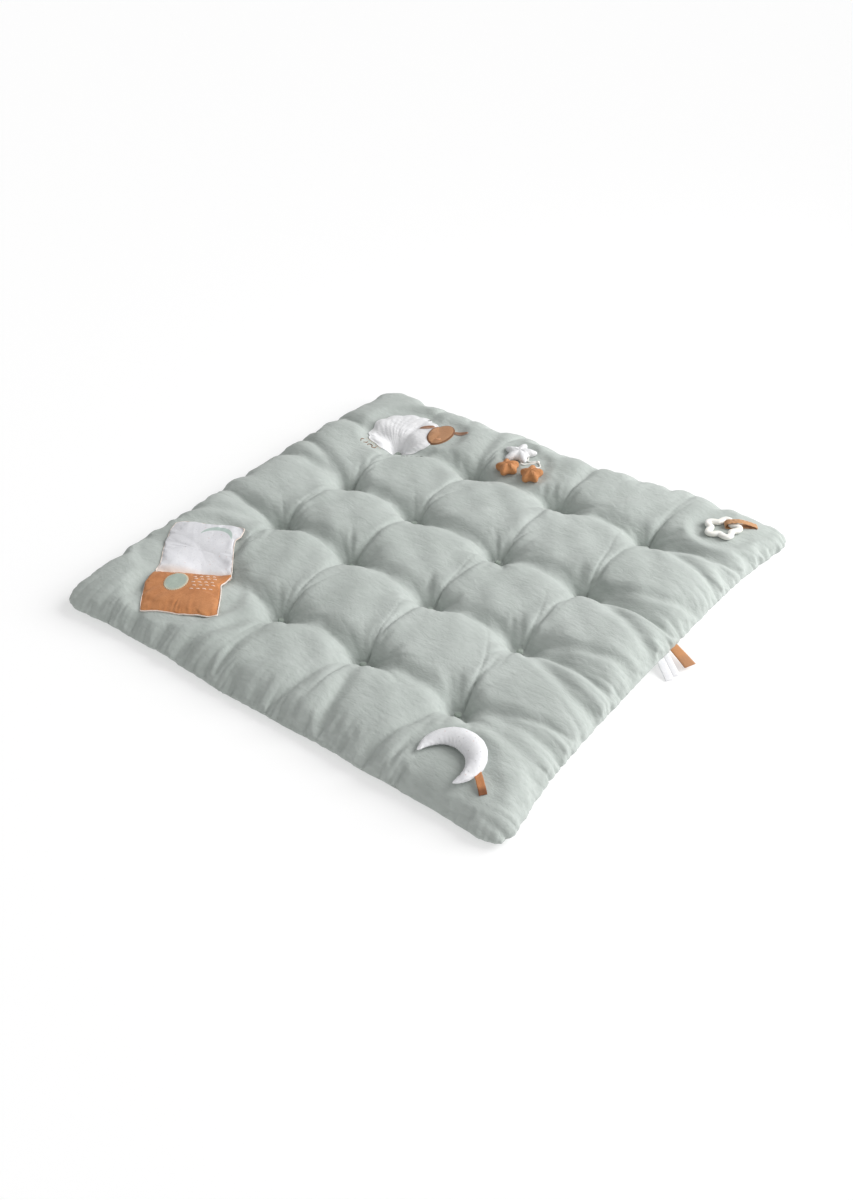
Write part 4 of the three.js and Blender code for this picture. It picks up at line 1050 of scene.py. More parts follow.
def gatherRims():
    points, normals = meshPoints(mat), meshNormals(mat)
    s, t, top = [readValues(mat, name) for name in ("placeS", "placeT", "topCloth")]
    fifths, fifth = matForm["fifths"], matForm["fifth"]
    x, y = points[:, 0] / mm, points[:, 1] / mm
    sides = {"near": (x, t * fifth, 0.3), "right": (y, (fifths - s) * fifth, 1.7),
             "back": (x, (fifths - t) * fifth, 2.9), "left": (y, s * fifth, 4.1)}
    depth = sum(gatherDepth(along, run, rimGathers[name], shift)
                for name, (along, run, shift) in sides.items())
    lift = sum(height * np.exp(-((x - place) / width) ** 2) for place, width, height in rimLift)
    lift = lift * np.exp(-t * fifth / 30) * (t < fifths / 2)
    run = rimRun(s, t)
    depth += pleatDepth(x, y, tuftCreases, 19) * ease(0, matForm["rimHold"], run)
    onTop = ease(0.2, 0.9, top)
    mask = 0.15 + 0.85 * toyMask(points)
    moved = points - normals * (depth * onTop * mask * mm)[:, None]
    moved[:, 2] -= drawnDepth(x, y, s, t) * onTop * mask * mm
    least = np.where((top > 0.9) & (run > matForm["rimHold"]), drawnDown["least"] * mm, -1)
    moved[:, 2] = np.maximum(moved[:, 2], np.minimum(points[:, 2], least))
    moved[:, 2] += lift * mm * np.where(points[:, 2] > 0.004, 1, 0)
    moved[:, 2] = np.maximum(moved[:, 2], np.minimum(points[:, 2], 0.002))
    setPoints(mat, reachOut(moved, x, y, t))


fillMat()
print("mat filled")
subdivideOnce(mat)
gatherRims()
dress(mat, "sage", "sage_gauze", "mat_cushion")
print("mat done", len(mat.data.polygons))

# knots of the tufts
knotForm = {"radius": 0.0068, "flatten": 0.62, "folds": 7, "foldDepth": 0.07, "dip": 0.0012, "dipRun": 0.28}


def addSphere(radius, around):
    bpy.ops.mesh.primitive_uv_sphere_add(segments=around, ring_count=around // 2, radius=radius,
                                         location=(0, 0, 0))
    return bpy.context.object


def addKnots():
    form, radius = knotForm, knotForm["radius"]
    knot = addSphere(radius, 28)
    bpy.ops.object.mode_set(mode="EDIT")
    bpy.ops.transform.resize(value=(1, 1, form["flatten"]))
    bpy.ops.object.mode_set(mode="OBJECT")
    points = meshPoints(knot)
    turn = np.arctan2(points[:, 1], points[:, 0])
    away = np.hypot(points[:, 0], points[:, 1]) / radius
    fold = 1 - form["foldDepth"] * np.abs(np.cos(turn * form["folds"] / 2)) * ease(0.25, 1, away)
    points[:, :2] *= fold[:, None]
    points[:, 2] -= form["dip"] * np.exp(-(away / form["dipRun"]) ** 2) * (points[:, 2] > 0)
    setPoints(knot, points)
    bpy.ops.object.shade_smooth()
    for row, column in tufts:
        node = f"tuft_knot_{row}{column}"
        low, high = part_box(node)
        made = knot.copy()
        made.data = knot.data.copy()
        made.name = f"tuftKnot{row}{column}"
        scene.collection.objects.link(made)
        made.data.transform(Matrix.Rotation(row * 1.3 + column * 0.7, 4, "Z"))
        top = high.z - radius * form["flatten"]
        made.data.transform(Matrix.Translation(((low.x + high.x) / 2, (low.y + high.y) / 2, top)))
        # their gauze is the darker copy of the sage: painted shade of the pits
        dress(made, "sageKnotPaintedShade", "sage_knot", node)
    bpy.data.objects.remove(knot)


addKnots()
print("knots set")

# where the toys lie: on the slope of the mat, as level pieces that are tipped to it
matSolidTree = treeOf(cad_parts["mat_cushion"])
matTree = treeOf(mat)


# the mat's height, measured once on each tile of a fine grid that something lies on
heightGrid = {"tile": 0.04, "cells": 20}
heightTiles = {}


def heightTile(column, row):
    if (column, row) not in heightTiles:
        steps = np.arange(heightGrid["cells"] + 1) / heightGrid["cells"]
        tile = heightGrid["tile"]
        heightTiles[column, row] = np.array([[heightOn(matTree, (column + a) * tile, (row + b) * tile)
                                              for b in steps] for a in steps])
    return heightTiles[column, row]


def onMat(points):
    scaled = np.asarray(points)[:, :2] / heightGrid["tile"]
    whole = np.floor(scaled).astype(int)
    part = (scaled - whole) * heightGrid["cells"]
    low = np.minimum(np.floor(part).astype(int), heightGrid["cells"] - 1)
    part -= low
    heights = np.empty(len(scaled))
    for column, row in sorted(set(map(tuple, whole.tolist()))):
        inTile = (whole[:, 0] == column) & (whole[:, 1] == row)
        grid = heightTile(column, row)
        (a, b), (f, g) = low[inTile].T, part[inTile].T
        heights[inTile] = (grid[a, b] * (1 - f) * (1 - g) + grid[a + 1, b] * f * (1 - g)
                           + grid[a, b + 1] * (1 - f) * g + grid[a + 1, b + 1] * f * g)
    return heights


def layMatrix(x, y, height, reach, turn=0.0, lean=0.0):
    x, y, height, reach = x * mm, y * mm, height * mm, reach * mm
    tree = matSolidTree
    slopeX = (heightOn(tree, x + reach, y) - heightOn(tree, x - reach, y)) / (2 * reach)
    slopeY = (heightOn(tree, x, y + reach) - heightOn(tree, x, y - reach)) / (2 * reach)
    tipped = Vector((0, 0, 1)).rotation_difference(Vector((-slopeX, -slopeY, 1)).normalized())
    place = Matrix.Translation((x, y, heightOn(tree, x, y) + height))
    return (place @ tipped.to_matrix().to_4x4() @ Matrix.Rotation(math.radians(turn), 4, "Z")
            @ Matrix.Rotation(math.radians(lean), 4, "Y"))


# lifts what would lie in the mat until it is just clear of it
def clearOfMat(piece, gap=0.0003, wall=0.0006):
    points, normals = meshPoints(piece), meshNormals(piece)
    floorOf = onMat(points) + gap + np.where(normals[:, 2] > 0, wall, 0)
    points[:, 2] = np.maximum(points[:, 2], floorOf)
    setPoints(piece, points)


# mean height of the mat round a place, as a stiff pad bridges its hollows
def bridged(points, reach=0.036, samples=8):
    here = onMat(points)
    total = here.copy()
    for k in range(samples):
        turn = k / samples * 2 * math.pi
        total += np.maximum(onMat(points + reach * np.array([math.cos(turn), math.sin(turn)])), here - 0.012)
    return np.maximum(total / (samples + 1), here - 0.001)


toyCloth = {"pressure": 4.0, "spare": 0.04, "frames": 16, "quality": 5, "tension": 14, "bending": 0.3}


# swells a small stuffed toy; what pinned marks stays put
def plump(piece, pinned, cap):
    setPoints(piece, settleCloth(piece, pinned.astype(float), np.full(len(pinned), cap), toyCloth))


def waves(along, seed):
    random = np.random.default_rng(seed)
    total = np.zeros_like(along)
    for length in (7.0, 11.0, 17.0, 27.0):
        stretched = length * random.uniform(0.85, 1.15)
        total += np.sin(along * 2 * math.pi / stretched + random.uniform(0, 6.28)) * length / 27
    return total / 2.3


# sheep: places on its own axes, in millimetres
sheepForm = {
    "x": -352, "y": 333, "turn": 40, "pit": (-339, 296), "pitHole": 8.5,
    "fleece": {"long": 82, "short": 76, "scallops": 12, "scallopDepth": 0.07, "thick": 1.6, "puff": 3.4,
               "around": 240, "rings": 50, "folds": 9, "foldDepth": 2.0,
               "narrowAt": -52, "narrowSpread": 58, "narrowing": 0.62, "bridge": 5.0, "areaShare": 0.93},
    "head": {"along": 82.6, "up": -14.7, "long": 40, "short": 26, "turn": 52, "thick": 3.6},
    "ears": {"sheepEarLeft": ("sheep_ear_left", 53.6, 11.8, 18, 5.5, -4),
             "sheepEarRight": ("sheep_ear_right", 125.7, -16.7, 19, 5.5, -26)},
    "earThick": 2.4,
}


def sheepSpot(along, up):
    return onAxes(sheepForm["x"], sheepForm["y"], along, up, sheepForm["turn"])


def ovalOutline(x, y, longHalf, shortHalf, turn, count):
    angles = roundTurn(count)
    return np.column_stack(onAxes(x, y, longHalf * np.cos(angles), shortHalf * np.sin(angles), turn)) * mm


def fleeceOutline():
    form, count = sheepForm["fleece"], sheepForm["fleece"]["around"]
    angles = roundTurn(count * 4)
    scallop = 1 - form["scallopDepth"] * (1 - np.abs(np.sin(angles * form["scallops"] / 2)))
    spots = sheepSpot(form["long"] * scallop * np.cos(angles), form["short"] * scallop * np.sin(angles))
    outline = evenly(np.column_stack(spots), count, closed=True)
    pit = np.array(sheepForm["pit"], float)
    toRim = outline - pit
    off = np.degrees(np.arctan2(toRim[:, 1], toRim[:, 0])) - form["narrowAt"]
    off = (off + 180) % 360 - 180
    outline = pit + toRim * (1 - form["narrowing"] * np.exp(-(off / form["narrowSpread"]) ** 2))[:, None]
    return evenly(outline, count, closed=True)


# how far the cloth folds into the pit, by its turn round the pit, its way out and its way to the edge
def fleeceFold(turns, away, edgeRun):
    folds = sheepForm["fleece"]["folds"]
    wide = (0.5 + 0.5 * np.sin(turns * folds + 1.1 * np.sin(away / 23) + 0.9 * np.sin(2 * turns))) ** 2
    narrow = (0.5 + 0.5 * np.sin(turns * 2 * folds + 0.8 * np.sin(away / 11) + 1.3 * np.sin(3 * turns))) ** 3
    fold = wide * (0.65 + 0.35 * np.sin(3 * turns + 0.5)) + 0.35 * narrow
    return fold * np.exp(-away / 45) * ease(2, 20, away) * ease(0, 10, edgeRun)


def addFleece():
    form = sheepForm["fleece"]
    rings, count, hole = form["rings"], form["around"], sheepForm["pitHole"]
    pit = np.array(sheepForm["pit"], float)
    toRim = fleeceOutline() - pit
    reach = np.linalg.norm(toRim, axis=1)[:, None]
    turns = np.arctan2(toRim[:, 1], toRim[:, 0])
    points = []
    for ring in range(rings):
        share = (ring / (rings - 1)) ** 1.15
        spots = pit + toRim / reach * (hole + share * (reach - hole))
        away = (hole + share * (reach[:, 0] - hole))
        edgeRun = reach[:, 0] - away
        height = onMat(spots * mm) / mm
        puff = form["puff"] * ease(0, 16, edgeRun) * ease(6, 46, away)
        puff = puff + form["bridge"] * ease(8, 24, away) * (1 - ease(30, 75, away)) * ease(0, 20, edgeRun)
        fold = fleeceFold(turns, away, edgeRun)
        small = 0.35 * np.sin(turns * 41 + away / 5) * ease(0, 8, edgeRun)
        pucker = 0.7 * np.abs(np.sin(roundTurn(count) * 62)) * np.exp(-edgeRun / 5)
        lift = 0.5 + puff - form["foldDepth"] * fold + small * 0.6 - pucker
        points.append(np.column_stack([spots, height + np.maximum(lift, 0.4)]))
    index = np.arange(rings * count).reshape(rings, count)
    faces = [(index[ring, k], index[ring + 1, k], index[ring + 1, j], index[ring, j])
             for ring in range(rings - 1) for k, j in enumerate(np.roll(np.arange(count), -1))]
    fleece = newObject("sheepFleece", (np.array(points) * mm).reshape(-1, 3), faces)
    pickOnly(fleece)
    bpy.ops.object.modifier_add(type="SOLIDIFY")
    modifier = fleece.modifiers[-1]
    modifier.thickness, modifier.offset = form["thick"] * mm, 1
    bpy.ops.object.modifier_apply(modifier=modifier.name)
    fleece.select_set(False)
    dress(fleece, "whiteGauze", "white_gauze", "sheep_fleece")
    return fleece


fleece = addFleece()
fleeceTree = treeOf(fleece)


def onFleece(points):
    return higherOn(fleeceTree, points, onMat(points))


padShares = [1, 0.985, 0.96, 0.93, 0.89, 0.83, 0.75, 0.65, 0.52, 0.38, 0.22]


def addSheepPad(name, node, outline, thick, key):
    def under(spots, share):
        return onFleece(spots) + 0.0004

    def top(spots, share):
        return onFleece(spots) + 0.0005 + thick * mm * (0.45 * domed(share, 8) + 0.55 * domed(share))

    pad = dress(addPillow(name, outline, padShares, top, under), key, "brown_cloth", node)
    return pad


sheepThreads = {
    "sheepEye": [[(-277.3, 350.7), (-272.9, 352.0), (-269.0, 355.2), (-267.1, 359.6)]],
    "sheepFeetLeft": [
        [(-377.6, 237.1), (-382.6, 246), (-381.1, 253.1), (-374.6, 251.2), (-367.4, 238)],
        [(-368.6, 238.6), (-364.4, 247.4), (-368.4, 258.9)],
        [(-396.3, 237), (-402.8, 247.5), (-402.5, 257.3)],
        [(-391.4, 238.4), (-388.6, 248.6), (-392.2, 257.5)]],
    "sheepFeetRight": [
        [(-294.5, 252.4), (-290, 261.4)], [(-289, 262.2), (-288.6, 270.2)], [(-286.6, 273), (-283.4, 281)],
        [(-281, 284.6), (-277, 292.6)], [(-275.4, 294.6), (-270, 298.2)], [(-338, 402.5), (-333.6, 410.2)]],
    "fleeceDots": [[(-404.2 + 6.2 * k, 266.2 - 1.2 * k + 0.5 * (k % 2)),
                    (-401 + 6.2 * k, 264.8 - 1.2 * k + 0.5 * (k % 2))] for k in range(8)],
}


def addSheep():
    head, turn = sheepForm["head"], sheepForm["turn"]
    x, y = sheepSpot(head["along"], head["up"])
    outline = ovalOutline(x, y, head["long"], head["short"], turn + head["turn"], 96)
    headTree = treeOf(addSheepPad("sheepHead", "sheep_head", outline, head["thick"], "brownHead"))
    for name, (node, along, up, longHalf, shortHalf, earTurn) in sheepForm["ears"].items():
        outline = ovalOutline(*sheepSpot(along, up), longHalf, shortHalf, turn + earTurn, 60)
        addSheepPad(name, node, outline, sheepForm["earThick"], "brownEar")

    def onHead(points):
        return higherOn(headTree, points, onFleece(points))

    for name, heightAt, radius, key in (
            ("sheepEye", onHead, 0.0014, "peachThread"), ("sheepFeetLeft", onMat, 0.0011, "brownThread"),
            ("sheepFeetRight", onFleece, 0.001, "greyThread"),
            ("fleeceDots", onFleece, 0.0009, "creamThread")):
        addThreads(name, sheepThreads[name], heightAt, radius, "brown_cloth", key)


addSheep()
print("sheep laid")

# book: two padded leaves of cloth that meet at the spine; outlines start with the spine's points
bookForm = {
    "puff": 5.0, "underPuff": 0.15, "spinePoints": 4, "edging": 2.2, "shownSide": (0.9, -0.43),
    "count": 208, "soften": 1, "spineThin": 0.35, "spineRun": 25.0, "spineLift": (1.0, 8.5),
    "liftAlong": (-10.0, 110.0), "liftRun": 38.0, "seam": 1.5,
    "shares": [1, 0.992, 0.978, 0.96, 0.935, 0.9, 0.855, 0.8, 0.73, 0.65, 0.56, 0.46, 0.35, 0.23, 0.11],
}
whiteLeaf = [(-391, -372.5), (-352, -346), (-311, -318), (-271, -289.5), (-283, -279), (-305, -254),
             (-324, -232), (-340, -213), (-348, -201), (-346, -188), (-352, -175), (-358, -165),
             (-372, -166), (-388, -170), (-427, -192), (-453, -203), (-478, -215), (-488, -227),
             (-479, -250), (-456, -286), (-436, -309), (-414, -333), (-401, -350)]
rustLeaf = [(-391, -374), (-354, -343), (-314, -313), (-273, -284), (-269, -305), (-268, -320),
            (-252, -336), (-238, -352), (-225, -367), (-203, -393), (-216, -405), (-230, -411),
            (-262, -430), (-300, -447), (-331, -464), (-342, -452), (-353, -439), (-366, -423),
            (-379, -407), (-386, -391)]


# distance along the spine and away from it, in millimetres
def onBook(points):
    start, end = np.array(rustLeaf[0]), np.array(rustLeaf[3])
    ahead = (end - start) / np.linalg.norm(end - start)
    off = points[:, :2] - start
    return off @ ahead, off @ np.array([-ahead[1], ahead[0]])


leafLift = {}  # how far each leaf stands off the mat beside the spine


def leafOutline(corners):
    return softened(evenly(np.array(corners, float), bookForm["count"], closed=True), bookForm["soften"]) * mm


# the rust leaf folds over the edge of the white one, which lies flat under it
def addLeaf(name, node, corners, slotName, key, seed, wrinkle, lyingOn=None):
    form = bookForm
    outline = leafOutline(corners)

    def floorOf(spots):
        bare = onMat(spots) + 0.0003
        if lyingOn is None:
            return bare
        return np.maximum(bare, heightsOn(lyingOn, spots, otherwise=-1.0) + 0.0004)

    def liftOf(spots):
        along, fromSpine = onBook(spots / mm)
        low, more = form["spineLift"]
        lift = (low + more * ease(*form["liftAlong"], along)) * np.exp(-(fromSpine / form["liftRun"]) ** 2)
        return lift * (0.0 if lyingOn is None else 1.0)

    def top(spots, share):
        thick = form["seam"] + form["seam"] * domed(share, 30) + form["puff"] * domed(share)
        if lyingOn is None:
            fromSpine, thin = np.abs(onBook(spots / mm)[1]), form["spineThin"]
            thick = thick * (thin + (1 - thin) * ease(0, form["spineRun"], fromSpine))
        return np.maximum(bridged(spots) + (thick + liftOf(spots)) * mm, floorOf(spots) + 0.0012)

    def under(spots, share):
        sunk = form["puff"] * form["underPuff"] * domed(share)
        lift = form["seam"] - form["seam"] * domed(share, 30) - sunk + 0.7 * liftOf(spots)
        return np.maximum(bridged(spots) + lift * mm, floorOf(spots))

    leaf = addPillow(name, outline, form["shares"], top, under)
    leafLift[name] = liftOf
    plump(leaf, (readValues(leaf, "toEdge") < 0.5) | (meshNormals(leaf)[:, 2] < 0), 0.0012)
    subdivideOnce(leaf)
    points, normals = meshPoints(leaf), meshNormals(leaf)
    toEdge = readValues(leaf, "toEdge")
    u, v = onBook(points / mm)
    v = np.abs(v)
    lines = waves(u + 4 * np.sin(v / 37 + seed), seed) * (0.25 + 0.75 * ease(50, 140, v))
    lines += 0.5 * waves(u * 1.9 + 3 * np.sin(v / 21), seed + 1) * np.exp(-toEdge / 14)
    points[:, 2] += wrinkle * mm * lines * ease(0, 3, toEdge) * (normals[:, 2] > 0)
    setPoints(leaf, points)
    clearOfMat(leaf)
    dress(leaf, key, slotName, node)
    return leaf


def addEdging(name, node, leafName, corners, seed):
    outline = leafOutline(corners)
    spine = runAlong(np.array(corners[:bookForm["spinePoints"]], float))[-1]
    whole = runAlong(np.vstack([corners, corners[:1]]))[-1]
    first = int(math.ceil(spine / whole * len(outline))) + 2
    free = outline[first:len(outline) - 1]
    ahead = np.gradient(free, axis=0)
    ahead /= np.linalg.norm(ahead, axis=1)[:, None]
    run = runAlong(free) / mm
    outward = np.column_stack([ahead[:, 1], -ahead[:, 0]]) * np.sign(windingOf(outline))
    shown = ease(-0.25, 0.4, outward @ np.array(bookForm["shownSide"]))
    spots = free + outward * (0.3 + 0.9 * shown + 0.3 * shown * waves(run, seed))[:, None] * mm
    lift = 0.9 + 0.8 * shown + 0.5 * shown * waves(run, seed + 1) + leafLift[leafName](free) * 0.85
    height = np.maximum(bridged(free) + lift * mm, onMat(spots) + 0.0013)
    path = smoothPath(np.column_stack([spots, height, 0.5 + 0.5 * shown]), 3)
    edging = addTube(name, path[:, :3], bookForm["edging"] * path[:, 3] * mm, 0.0029 * path[:, 3], 12)
    dress(edging, "paleEdging", "pale_edging", node)


leafWhite = addLeaf("bookLeafWhite", "book_leaf_white", whiteLeaf, "white_cotton", "whiteLeaf", 3, 0.2)
leafRust = addLeaf("bookLeafRust", "book_leaf_rust", rustLeaf, "rust_cotton", "rustLeaf", 5, 0.75,
                   lyingOn=treeOf(leafWhite))
addEdging("bookEdgingWhite", "book_edging_white", "bookLeafWhite", whiteLeaf, 11)
addEdging("bookEdgingRust", "book_edging_rust", "bookLeafRust", rustLeaf, 17)
leafTrees = [treeOf(leafWhite), treeOf(leafRust)]


def onLeaves(points):
    return np.max([heightsOn(tree, points) for tree in leafTrees], axis=0)


# the cloud patch and the stitched rain on the rust leaf
cloudForm = {"x": -332, "y": -371.5, "long": 27.5, "short": 22, "turn": 112, "thick": 1.2, "tacks": 34,
             "shares": [1, 0.985, 0.96, 0.93, 0.88, 0.8, 0.7, 0.55, 0.4, 0.2]}


def addCloud():
    form = cloudForm
    x, y, longHalf, shortHalf, turn = [form[key] for key in ("x", "y", "long", "short", "turn")]

    def under(spots, share):
        return onLeaves(spots) + 0.0002

    def top(spots, share):
        return under(spots, share) + form["thick"] * mm * domed(share, 12)

    outline = ovalOutline(x, y, longHalf, shortHalf, turn, 96)
    cloud = addPillow("bookCloud", outline, form["shares"], top, under)
    dress(cloud, "cloudGreen", "green_cloth", "book_cloud")
    cloudTree = treeOf(cloud)

    def onCloud(points):
        return higherOn(cloudTree, points, onLeaves(points))

    tacks = [[onAxes(x, y, (longHalf + swell) * math.cos(angle), (shortHalf + swell) * math.sin(angle), turn)
              for swell in (-2.2, 1.2)] for angle in roundTurn(form["tacks"])]
    addThreads("cloudTacks", tacks, onCloud, 0.0003, "green_cloth", "creamThread", sides=6)


addCloud()

rainForm = {"from": (-328.9, -347.2), "acrossStep": (8.6, 8.0), "downStep": (5.9, -8.0), "dash": (5.8, 4.6),
            "rows": 5, "columns": 5, "stagger": 0.3, "clear": 28,
            "spine": [[(-385, -370.5), (-376.5, -365.3)], [(-368.2, -354.2), (-359.6, -349)]]}


def addRain():
    form = rainForm
    dashes = []
    for row in range(form["rows"]):
        for column in range(form["columns"]):
            across = column + form["stagger"] * (row % 2)
            x, y = [form["from"][k] + across * form["acrossStep"][k] + row * form["downStep"][k]
                    for k in (0, 1)]
            if math.hypot(x - cloudForm["x"], y - cloudForm["y"]) > form["clear"]:
                dashes.append([(x, y), (x + form["dash"][0], y + form["dash"][1])])
    addThreads("rainStitches", dashes, onLeaves, 0.0008, "rust_cotton", "whiteThread")
    addThreads("spineStitches", form["spine"], onLeaves, 0.0012, "rust_cotton", "whiteThread")


addRain()
print("book laid")

# stuffed stars, their knot, sizes in millimetres
starForms = {
    "starWhite": {"node": "star_white", "x": -89, "y": 408, "radius": 28.5, "half": 10, "turn": 33, "lean": 0,
                  "arms": (0.26, 0.07), "ridge": 0.08, "lumps": 0.5, "slot": "white_cotton",
                  "key": "whiteStar", "fill": 0.6},
    "starRustLeft": {"node": "star_rust_left", "x": -78, "y": 347, "radius": 22.5, "half": 12.5, "turn": 60,
                     "lean": 6, "arms": (0.15, 0.02), "ridge": 0.02, "lumps": 0.9, "slot": "rust_cotton",
                     "key": "rustStar", "fill": 0.9},
    "starRustRight": {"node": "star_rust_right", "x": -20, "y": 351, "radius": 22, "half": 12.5, "turn": 42,
                      "lean": -5, "arms": (0.15, 0.02), "ridge": 0.02, "lumps": 0.9, "slot": "rust_cotton",
                      "key": "rustStar", "fill": 0.9},
}
starSink = 3.5
starShares = [1, 0.985, 0.96, 0.92, 0.87, 0.8, 0.71, 0.61, 0.5, 0.38, 0.26, 0.13]


def addStar(name, form, seed):
    angles = roundTurn(120)
    armLength, armPoint = form["arms"]
    reach = form["radius"] * (1 + armLength * np.cos(5 * angles) + armPoint * np.cos(10 * angles))
    outline = np.column_stack([reach * np.cos(angles), reach * np.sin(angles)]) * mm

    def puff(spots, share):
        turn = np.arctan2(spots[:, 1], spots[:, 0])
        arm = 0.92 + 0.08 * np.cos(5 * turn) * (1 - share) * share
        ridge = form["ridge"] * (np.abs(np.cos(2.5 * turn)) - 0.6) * np.sin(math.pi * np.clip(share, 0, 1))
        return form["half"] * mm * np.clip(1 - share ** 2.8, 0, 1) ** 0.5 * (arm + ridge)

    star = addPillow(name, outline, starShares, puff, lambda spots, share: -puff(spots, share))
    plump(star, readValues(star, "toEdge") < 0.3, 0.0008)
    subdivideOnce(star)
    points, normals = meshPoints(star), meshNormals(star)
    toEdge = readValues(star, "toEdge")
    turn = np.arctan2(points[:, 1], points[:, 0])
    gather = np.abs(np.sin(turn * 24 + 1.5 * np.sin(5 * turn) + seed)) - 0.5
    points += normals * (0.55 * gather * np.exp(-toEdge / 3.5) * ease(0, 1.5, toEdge) * mm)[:, None]
    lump = waves(turn * 20 + np.hypot(points[:, 0], points[:, 1]) / mm, seed)
    points += normals * (form["lumps"] * lump * ease(1, 8, toEdge) * mm)[:, None]
    setPoints(star, points)
    star.data.transform(layMatrix(form["x"], form["y"], form["half"] - starSink, form["radius"] * 0.7,
                                  form["turn"], form["lean"]))
    clearOfMat(star)
    dress(star, form["key"], form["slot"], form["node"])


for seed, (name, form) in enumerate(starForms.items()):
    addStar(name, form, seed + 21)


# the knot that holds the cords: radius in metres, its place x, y, height and reach in millimetres
cordKnotForm = {"radius": 0.0045, "strandDepth": 0.14, "flatten": 0.9, "place": (-41, 407, 0.5, 8)}


def addCordKnot():
    radius = cordKnotForm["radius"]
    knot = addSphere(radius, 48)
    knot.name = "cordKnot"
    points = meshPoints(knot)
    turn, rise = np.arctan2(points[:, 1], points[:, 0]), points[:, 2] / radius
    strand, depth = np.abs(np.sin(1.5 * turn + 3.2 * rise)), cordKnotForm["strandDepth"]
    points *= (1 - depth + depth * strand)[:, None]
    points[:, 2] *= cordKnotForm["flatten"]
    setPoints(knot, points)
    bpy.ops.object.shade_smooth()
    knot.data.transform(layMatrix(*cordKnotForm["place"]))
    clearOfMat(knot)
    dress(knot, "whiteCord", "white_cord", "cord_knot")
    knot.select_set(False)


addCordKnot()
print("stars laid")

# star ring: five rounded arms, and the tape that loops round its limb
ringForm = {"x": 390, "y": 426, "middle": 27.8, "swing": 5.6, "limbHalf": 6.4, "half": 4.9, "turn": 28,
            "lean": -3, "reach": 36, "square": 2.7}
ringTapeForm = {"x": 400.6, "y": 447.8, "turn": 38, "width": 15, "thickness": 1.3, "gap": 0.6,
                "upperShare": 0.42}


def addRing():
    form = ringForm
    bpy.ops.mesh.primitive_torus_add(major_segments=200, minor_segments=28, major_radius=1, minor_radius=0.3,
                                     location=(0, 0, 0))
    ring = bpy.context.object
    ring.name = "starRing"
    points = meshPoints(ring)
    turn = np.arctan2(points[:, 1], points[:, 0])
    inward, upward = np.hypot(points[:, 0], points[:, 1]) - 1, points[:, 2]
    section = np.arctan2(upward, inward)
    radius = form["middle"] + form["swing"] * np.cos(5 * turn)
    growth = -form["swing"] * 5 * np.sin(5 * turn)
    outX = radius * np.cos(turn) + growth * np.sin(turn)
    outY = radius * np.sin(turn) - growth * np.cos(turn)
    length = np.hypot(outX, outY)
    power = 2 / form["square"]
    across = np.sign(np.cos(section)) * np.abs(np.cos(section)) ** power * form["limbHalf"]
    lift = np.sign(np.sin(section)) * np.abs(np.sin(section)) ** power * form["half"]
    placed = np.column_stack([radius * np.cos(turn) + outX / length * across,
                              radius * np.sin(turn) + outY / length * across, lift]) * mm
    setPoints(ring, placed)
    ring.data.transform(layMatrix(form["x"], form["y"], form["half"], form["reach"], form["turn"],
                                  form["lean"]))
    points = meshPoints(ring)
    points[:, 2] += max(np.max(onMat(points) + 0.0003 - points[:, 2]), 0)
    setPoints(ring, points)
    bpy.ops.object.shade_smooth()
    ring.select_set(False)
    dress(ring, "silicone", "ring_silicone", "star_ring")
    return ring


ring = addRing()


def addRingTape():
    form = ringTapeForm
    turn = math.radians(form["turn"])
    tree = treeOf(ring)
    x, y = form["x"] * mm, form["y"] * mm
    limb = heightOn(tree, x, y) / mm
    under = tree.ray_cast(Vector((x, y, 0.0)), Vector((0, 0, 1)))[0].z / mm
    slack = form["thickness"] / 2 + form["gap"]
    # the tape's run over the limb and back under it: place along it, what is below, height above that
    rows = [(50, "mat", 2.86), (39, "mat", 6.5), (27, "mat", 10), (15, "limb", slack + 1.6),
            (4, "limb", slack + 2.2), (-9, "limb", slack + 1), (-14.5, "limb", -2), (-14.5, "under", 1),
            (-10, "under", -slack - 0.2), (6, "under", -slack - 0.4), (16, "mat", slack + 0.4),
            (27, "mat", slack), (39, "mat", slack), (50, "mat", slack)]
    points = []
    for run, base, lift in rows:
        spot = (form["x"] + run * math.cos(turn), form["y"] + run * math.sin(turn))
        foot = {"mat": heightOn(matTree, spot[0] * mm, spot[1] * mm) / mm, "limb": limb, "under": under}[base]
        points.append((*spot, foot + lift))
    path = evenly(smoothPath(np.array(points) * mm, 12), 110)
    strip = addStrip("ringTape", path, form["width"] * mm, form["thickness"] * mm,
                     sideways=(-math.sin(turn), math.cos(turn), 0))
    spots = meshPoints(strip)
    along, across = readValues(strip, "alongStrip"), readValues(strip, "acrossStrip")
    upper = form["upperShare"]
    crown = 1.3 * np.exp(-(across / 0.45) ** 2) * np.sin(np.clip(along / upper, 0, 1) * math.pi)
    ripples = 0.45 * np.sin(along * 95) * np.sin(2.2 * across + 0.6)
    spots[:, 2] += np.where(along < upper, crown + ripples, 0) * mm
    setPoints(strip, spots)
    clearOfMat(strip, wall=0.001)
    dress(strip, "ringTape", "rust_tape", "ring_tape")


addRingTape()
print("ring laid")

# stuffed moon and its tape
moonForm = {"x": 357, "y": -422, "outer": 58, "widest": 21, "half": 13, "from": -52, "to": 204, "sink": 5,
            "steps": 110, "around": 36}


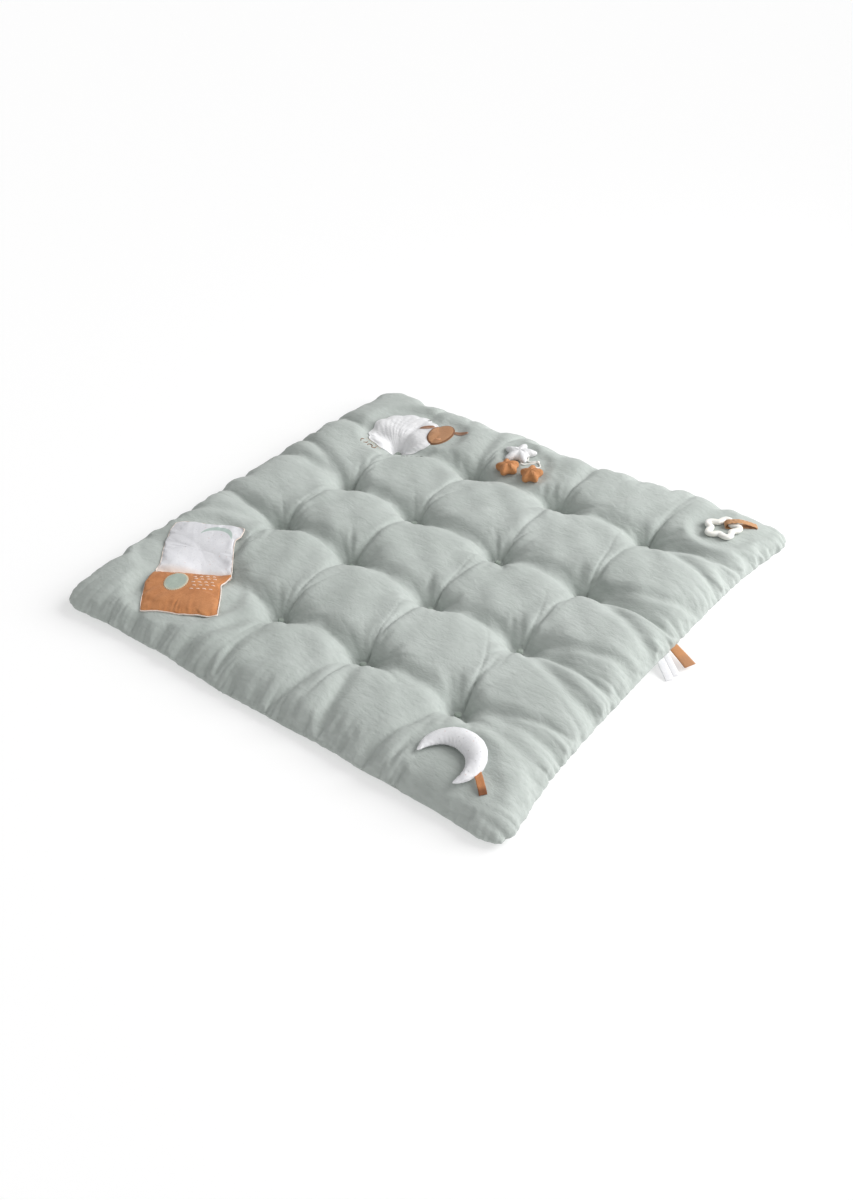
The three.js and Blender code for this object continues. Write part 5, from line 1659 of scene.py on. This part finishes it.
def addMoon():
    form = moonForm
    share = np.linspace(0.006, 0.994, form["steps"])
    turn = np.radians(form["from"] + share * (form["to"] - form["from"]))
    wide = form["widest"] * np.sin(math.pi * share) ** 0.62
    thick = form["half"] * np.sin(math.pi * share) ** 0.5
    middle = form["outer"] - wide
    path = np.column_stack([middle * np.cos(turn), middle * np.sin(turn), np.zeros_like(turn)]) * mm

    def tucked(angles, run):
        inner = np.clip(np.cos(angles), 0, 1) ** 2
        outer = np.clip(-np.cos(angles), 0, 1) ** 4
        run = run / mm
        return (1 - 0.05 * inner * np.abs(np.sin(run * math.pi / 9.5)) - 0.012 * outer * np.sin(run / 2.1)
                + 0.012 * np.sin(run / 6.3 + 2 * np.sin(angles)))

    moon = addTube("stuffedMoon", path, 2 * wide * mm, 2 * thick * mm, form["around"], shape=tucked,
                   sideways=np.column_stack([-np.cos(turn), -np.sin(turn), np.zeros_like(turn)]))
    flat = meshPoints(moon)
    plump(moon, np.abs(flat[:, 2]) < 0.0006, 0.0009)
    subdivideOnce(moon)
    moon.data.transform(layMatrix(form["x"], form["y"], form["half"] - form["sink"], 34))
    clearOfMat(moon)
    dress(moon, "whiteMoon", "white_cotton", "moon")
    return moon


moon = addMoon()
moonTapeForm = {"from": (401, -418), "to": (440, -449), "width": 13.5, "thickness": 1.8, "arch": 5.0}


def addMoonTape():
    form = moonTapeForm
    start, end = np.array(form["from"], float), np.array(form["to"], float)
    share = np.linspace(0, 1, 46)[:, None]
    spots = start + share * (end - start)
    arch = form["arch"] * (np.sin(share[:, 0] * math.pi) + 1 - share[:, 0])
    height = onMat(spots * mm) + (form["thickness"] / 2 + arch) * mm
    path = np.column_stack([spots * mm, height])
    strip = addStrip("moonTape", path, form["width"] * mm, form["thickness"] * mm, curl=0.0007)
    points = meshPoints(strip)
    along = readValues(strip, "alongStrip")
    points[:, 2] += 0.5 * mm * np.sin(along * 17) * ease(0.3, 0.6, along)
    setPoints(strip, points)
    clearOfMat(strip)
    dress(strip, "moonTape", "rust_tape", "moon_tape")


addMoonTape()
print("moon laid")

# tab and labels at the right rim
rimStrips = {
    "tapeTab": {"node": "tape_tab", "from": (466, 91), "to": (523, 67), "widths": (20, 25), "thickness": 2.4,
                "tip": 8, "slot": "rust_tape", "key": "tabTape"},
    "labelLeft": {"node": "label_left", "from": (458, 55), "to": (511, 17), "widths": (16, 17),
                  "thickness": 1.0, "tip": 1.4, "slot": "label_satin", "key": "satin"},
    "labelRight": {"node": "label_right", "from": (460, 72), "to": (514, 34), "widths": (13, 14),
                   "thickness": 1.0, "tip": 1.8, "slot": "label_satin", "key": "satin"},
}
rimRise = 17  # the height at which they leave the rim


def addRimStrips():
    for name, form in rimStrips.items():
        start, end = np.array(form["from"], float), np.array(form["to"], float)
        share = np.linspace(0, 1, 60)
        drop = share ** 1.3
        spots = start + share[:, None] * (end - start)
        height = rimRise * (1 - drop) + form["tip"] * drop
        path = np.column_stack([spots, height]) * mm
        widths = (form["widths"][0] + share * (form["widths"][1] - form["widths"][0])) * mm
        strip = addStrip(name, path, widths, form["thickness"] * mm, curl=-0.0004)
        points = meshPoints(strip)
        points[:, 2] = np.maximum(points[:, 2], 0.0002)
        setPoints(strip, points)
        dress(strip, form["key"], form["slot"], form["node"])


addRimStrips()
print("tab and labels set")
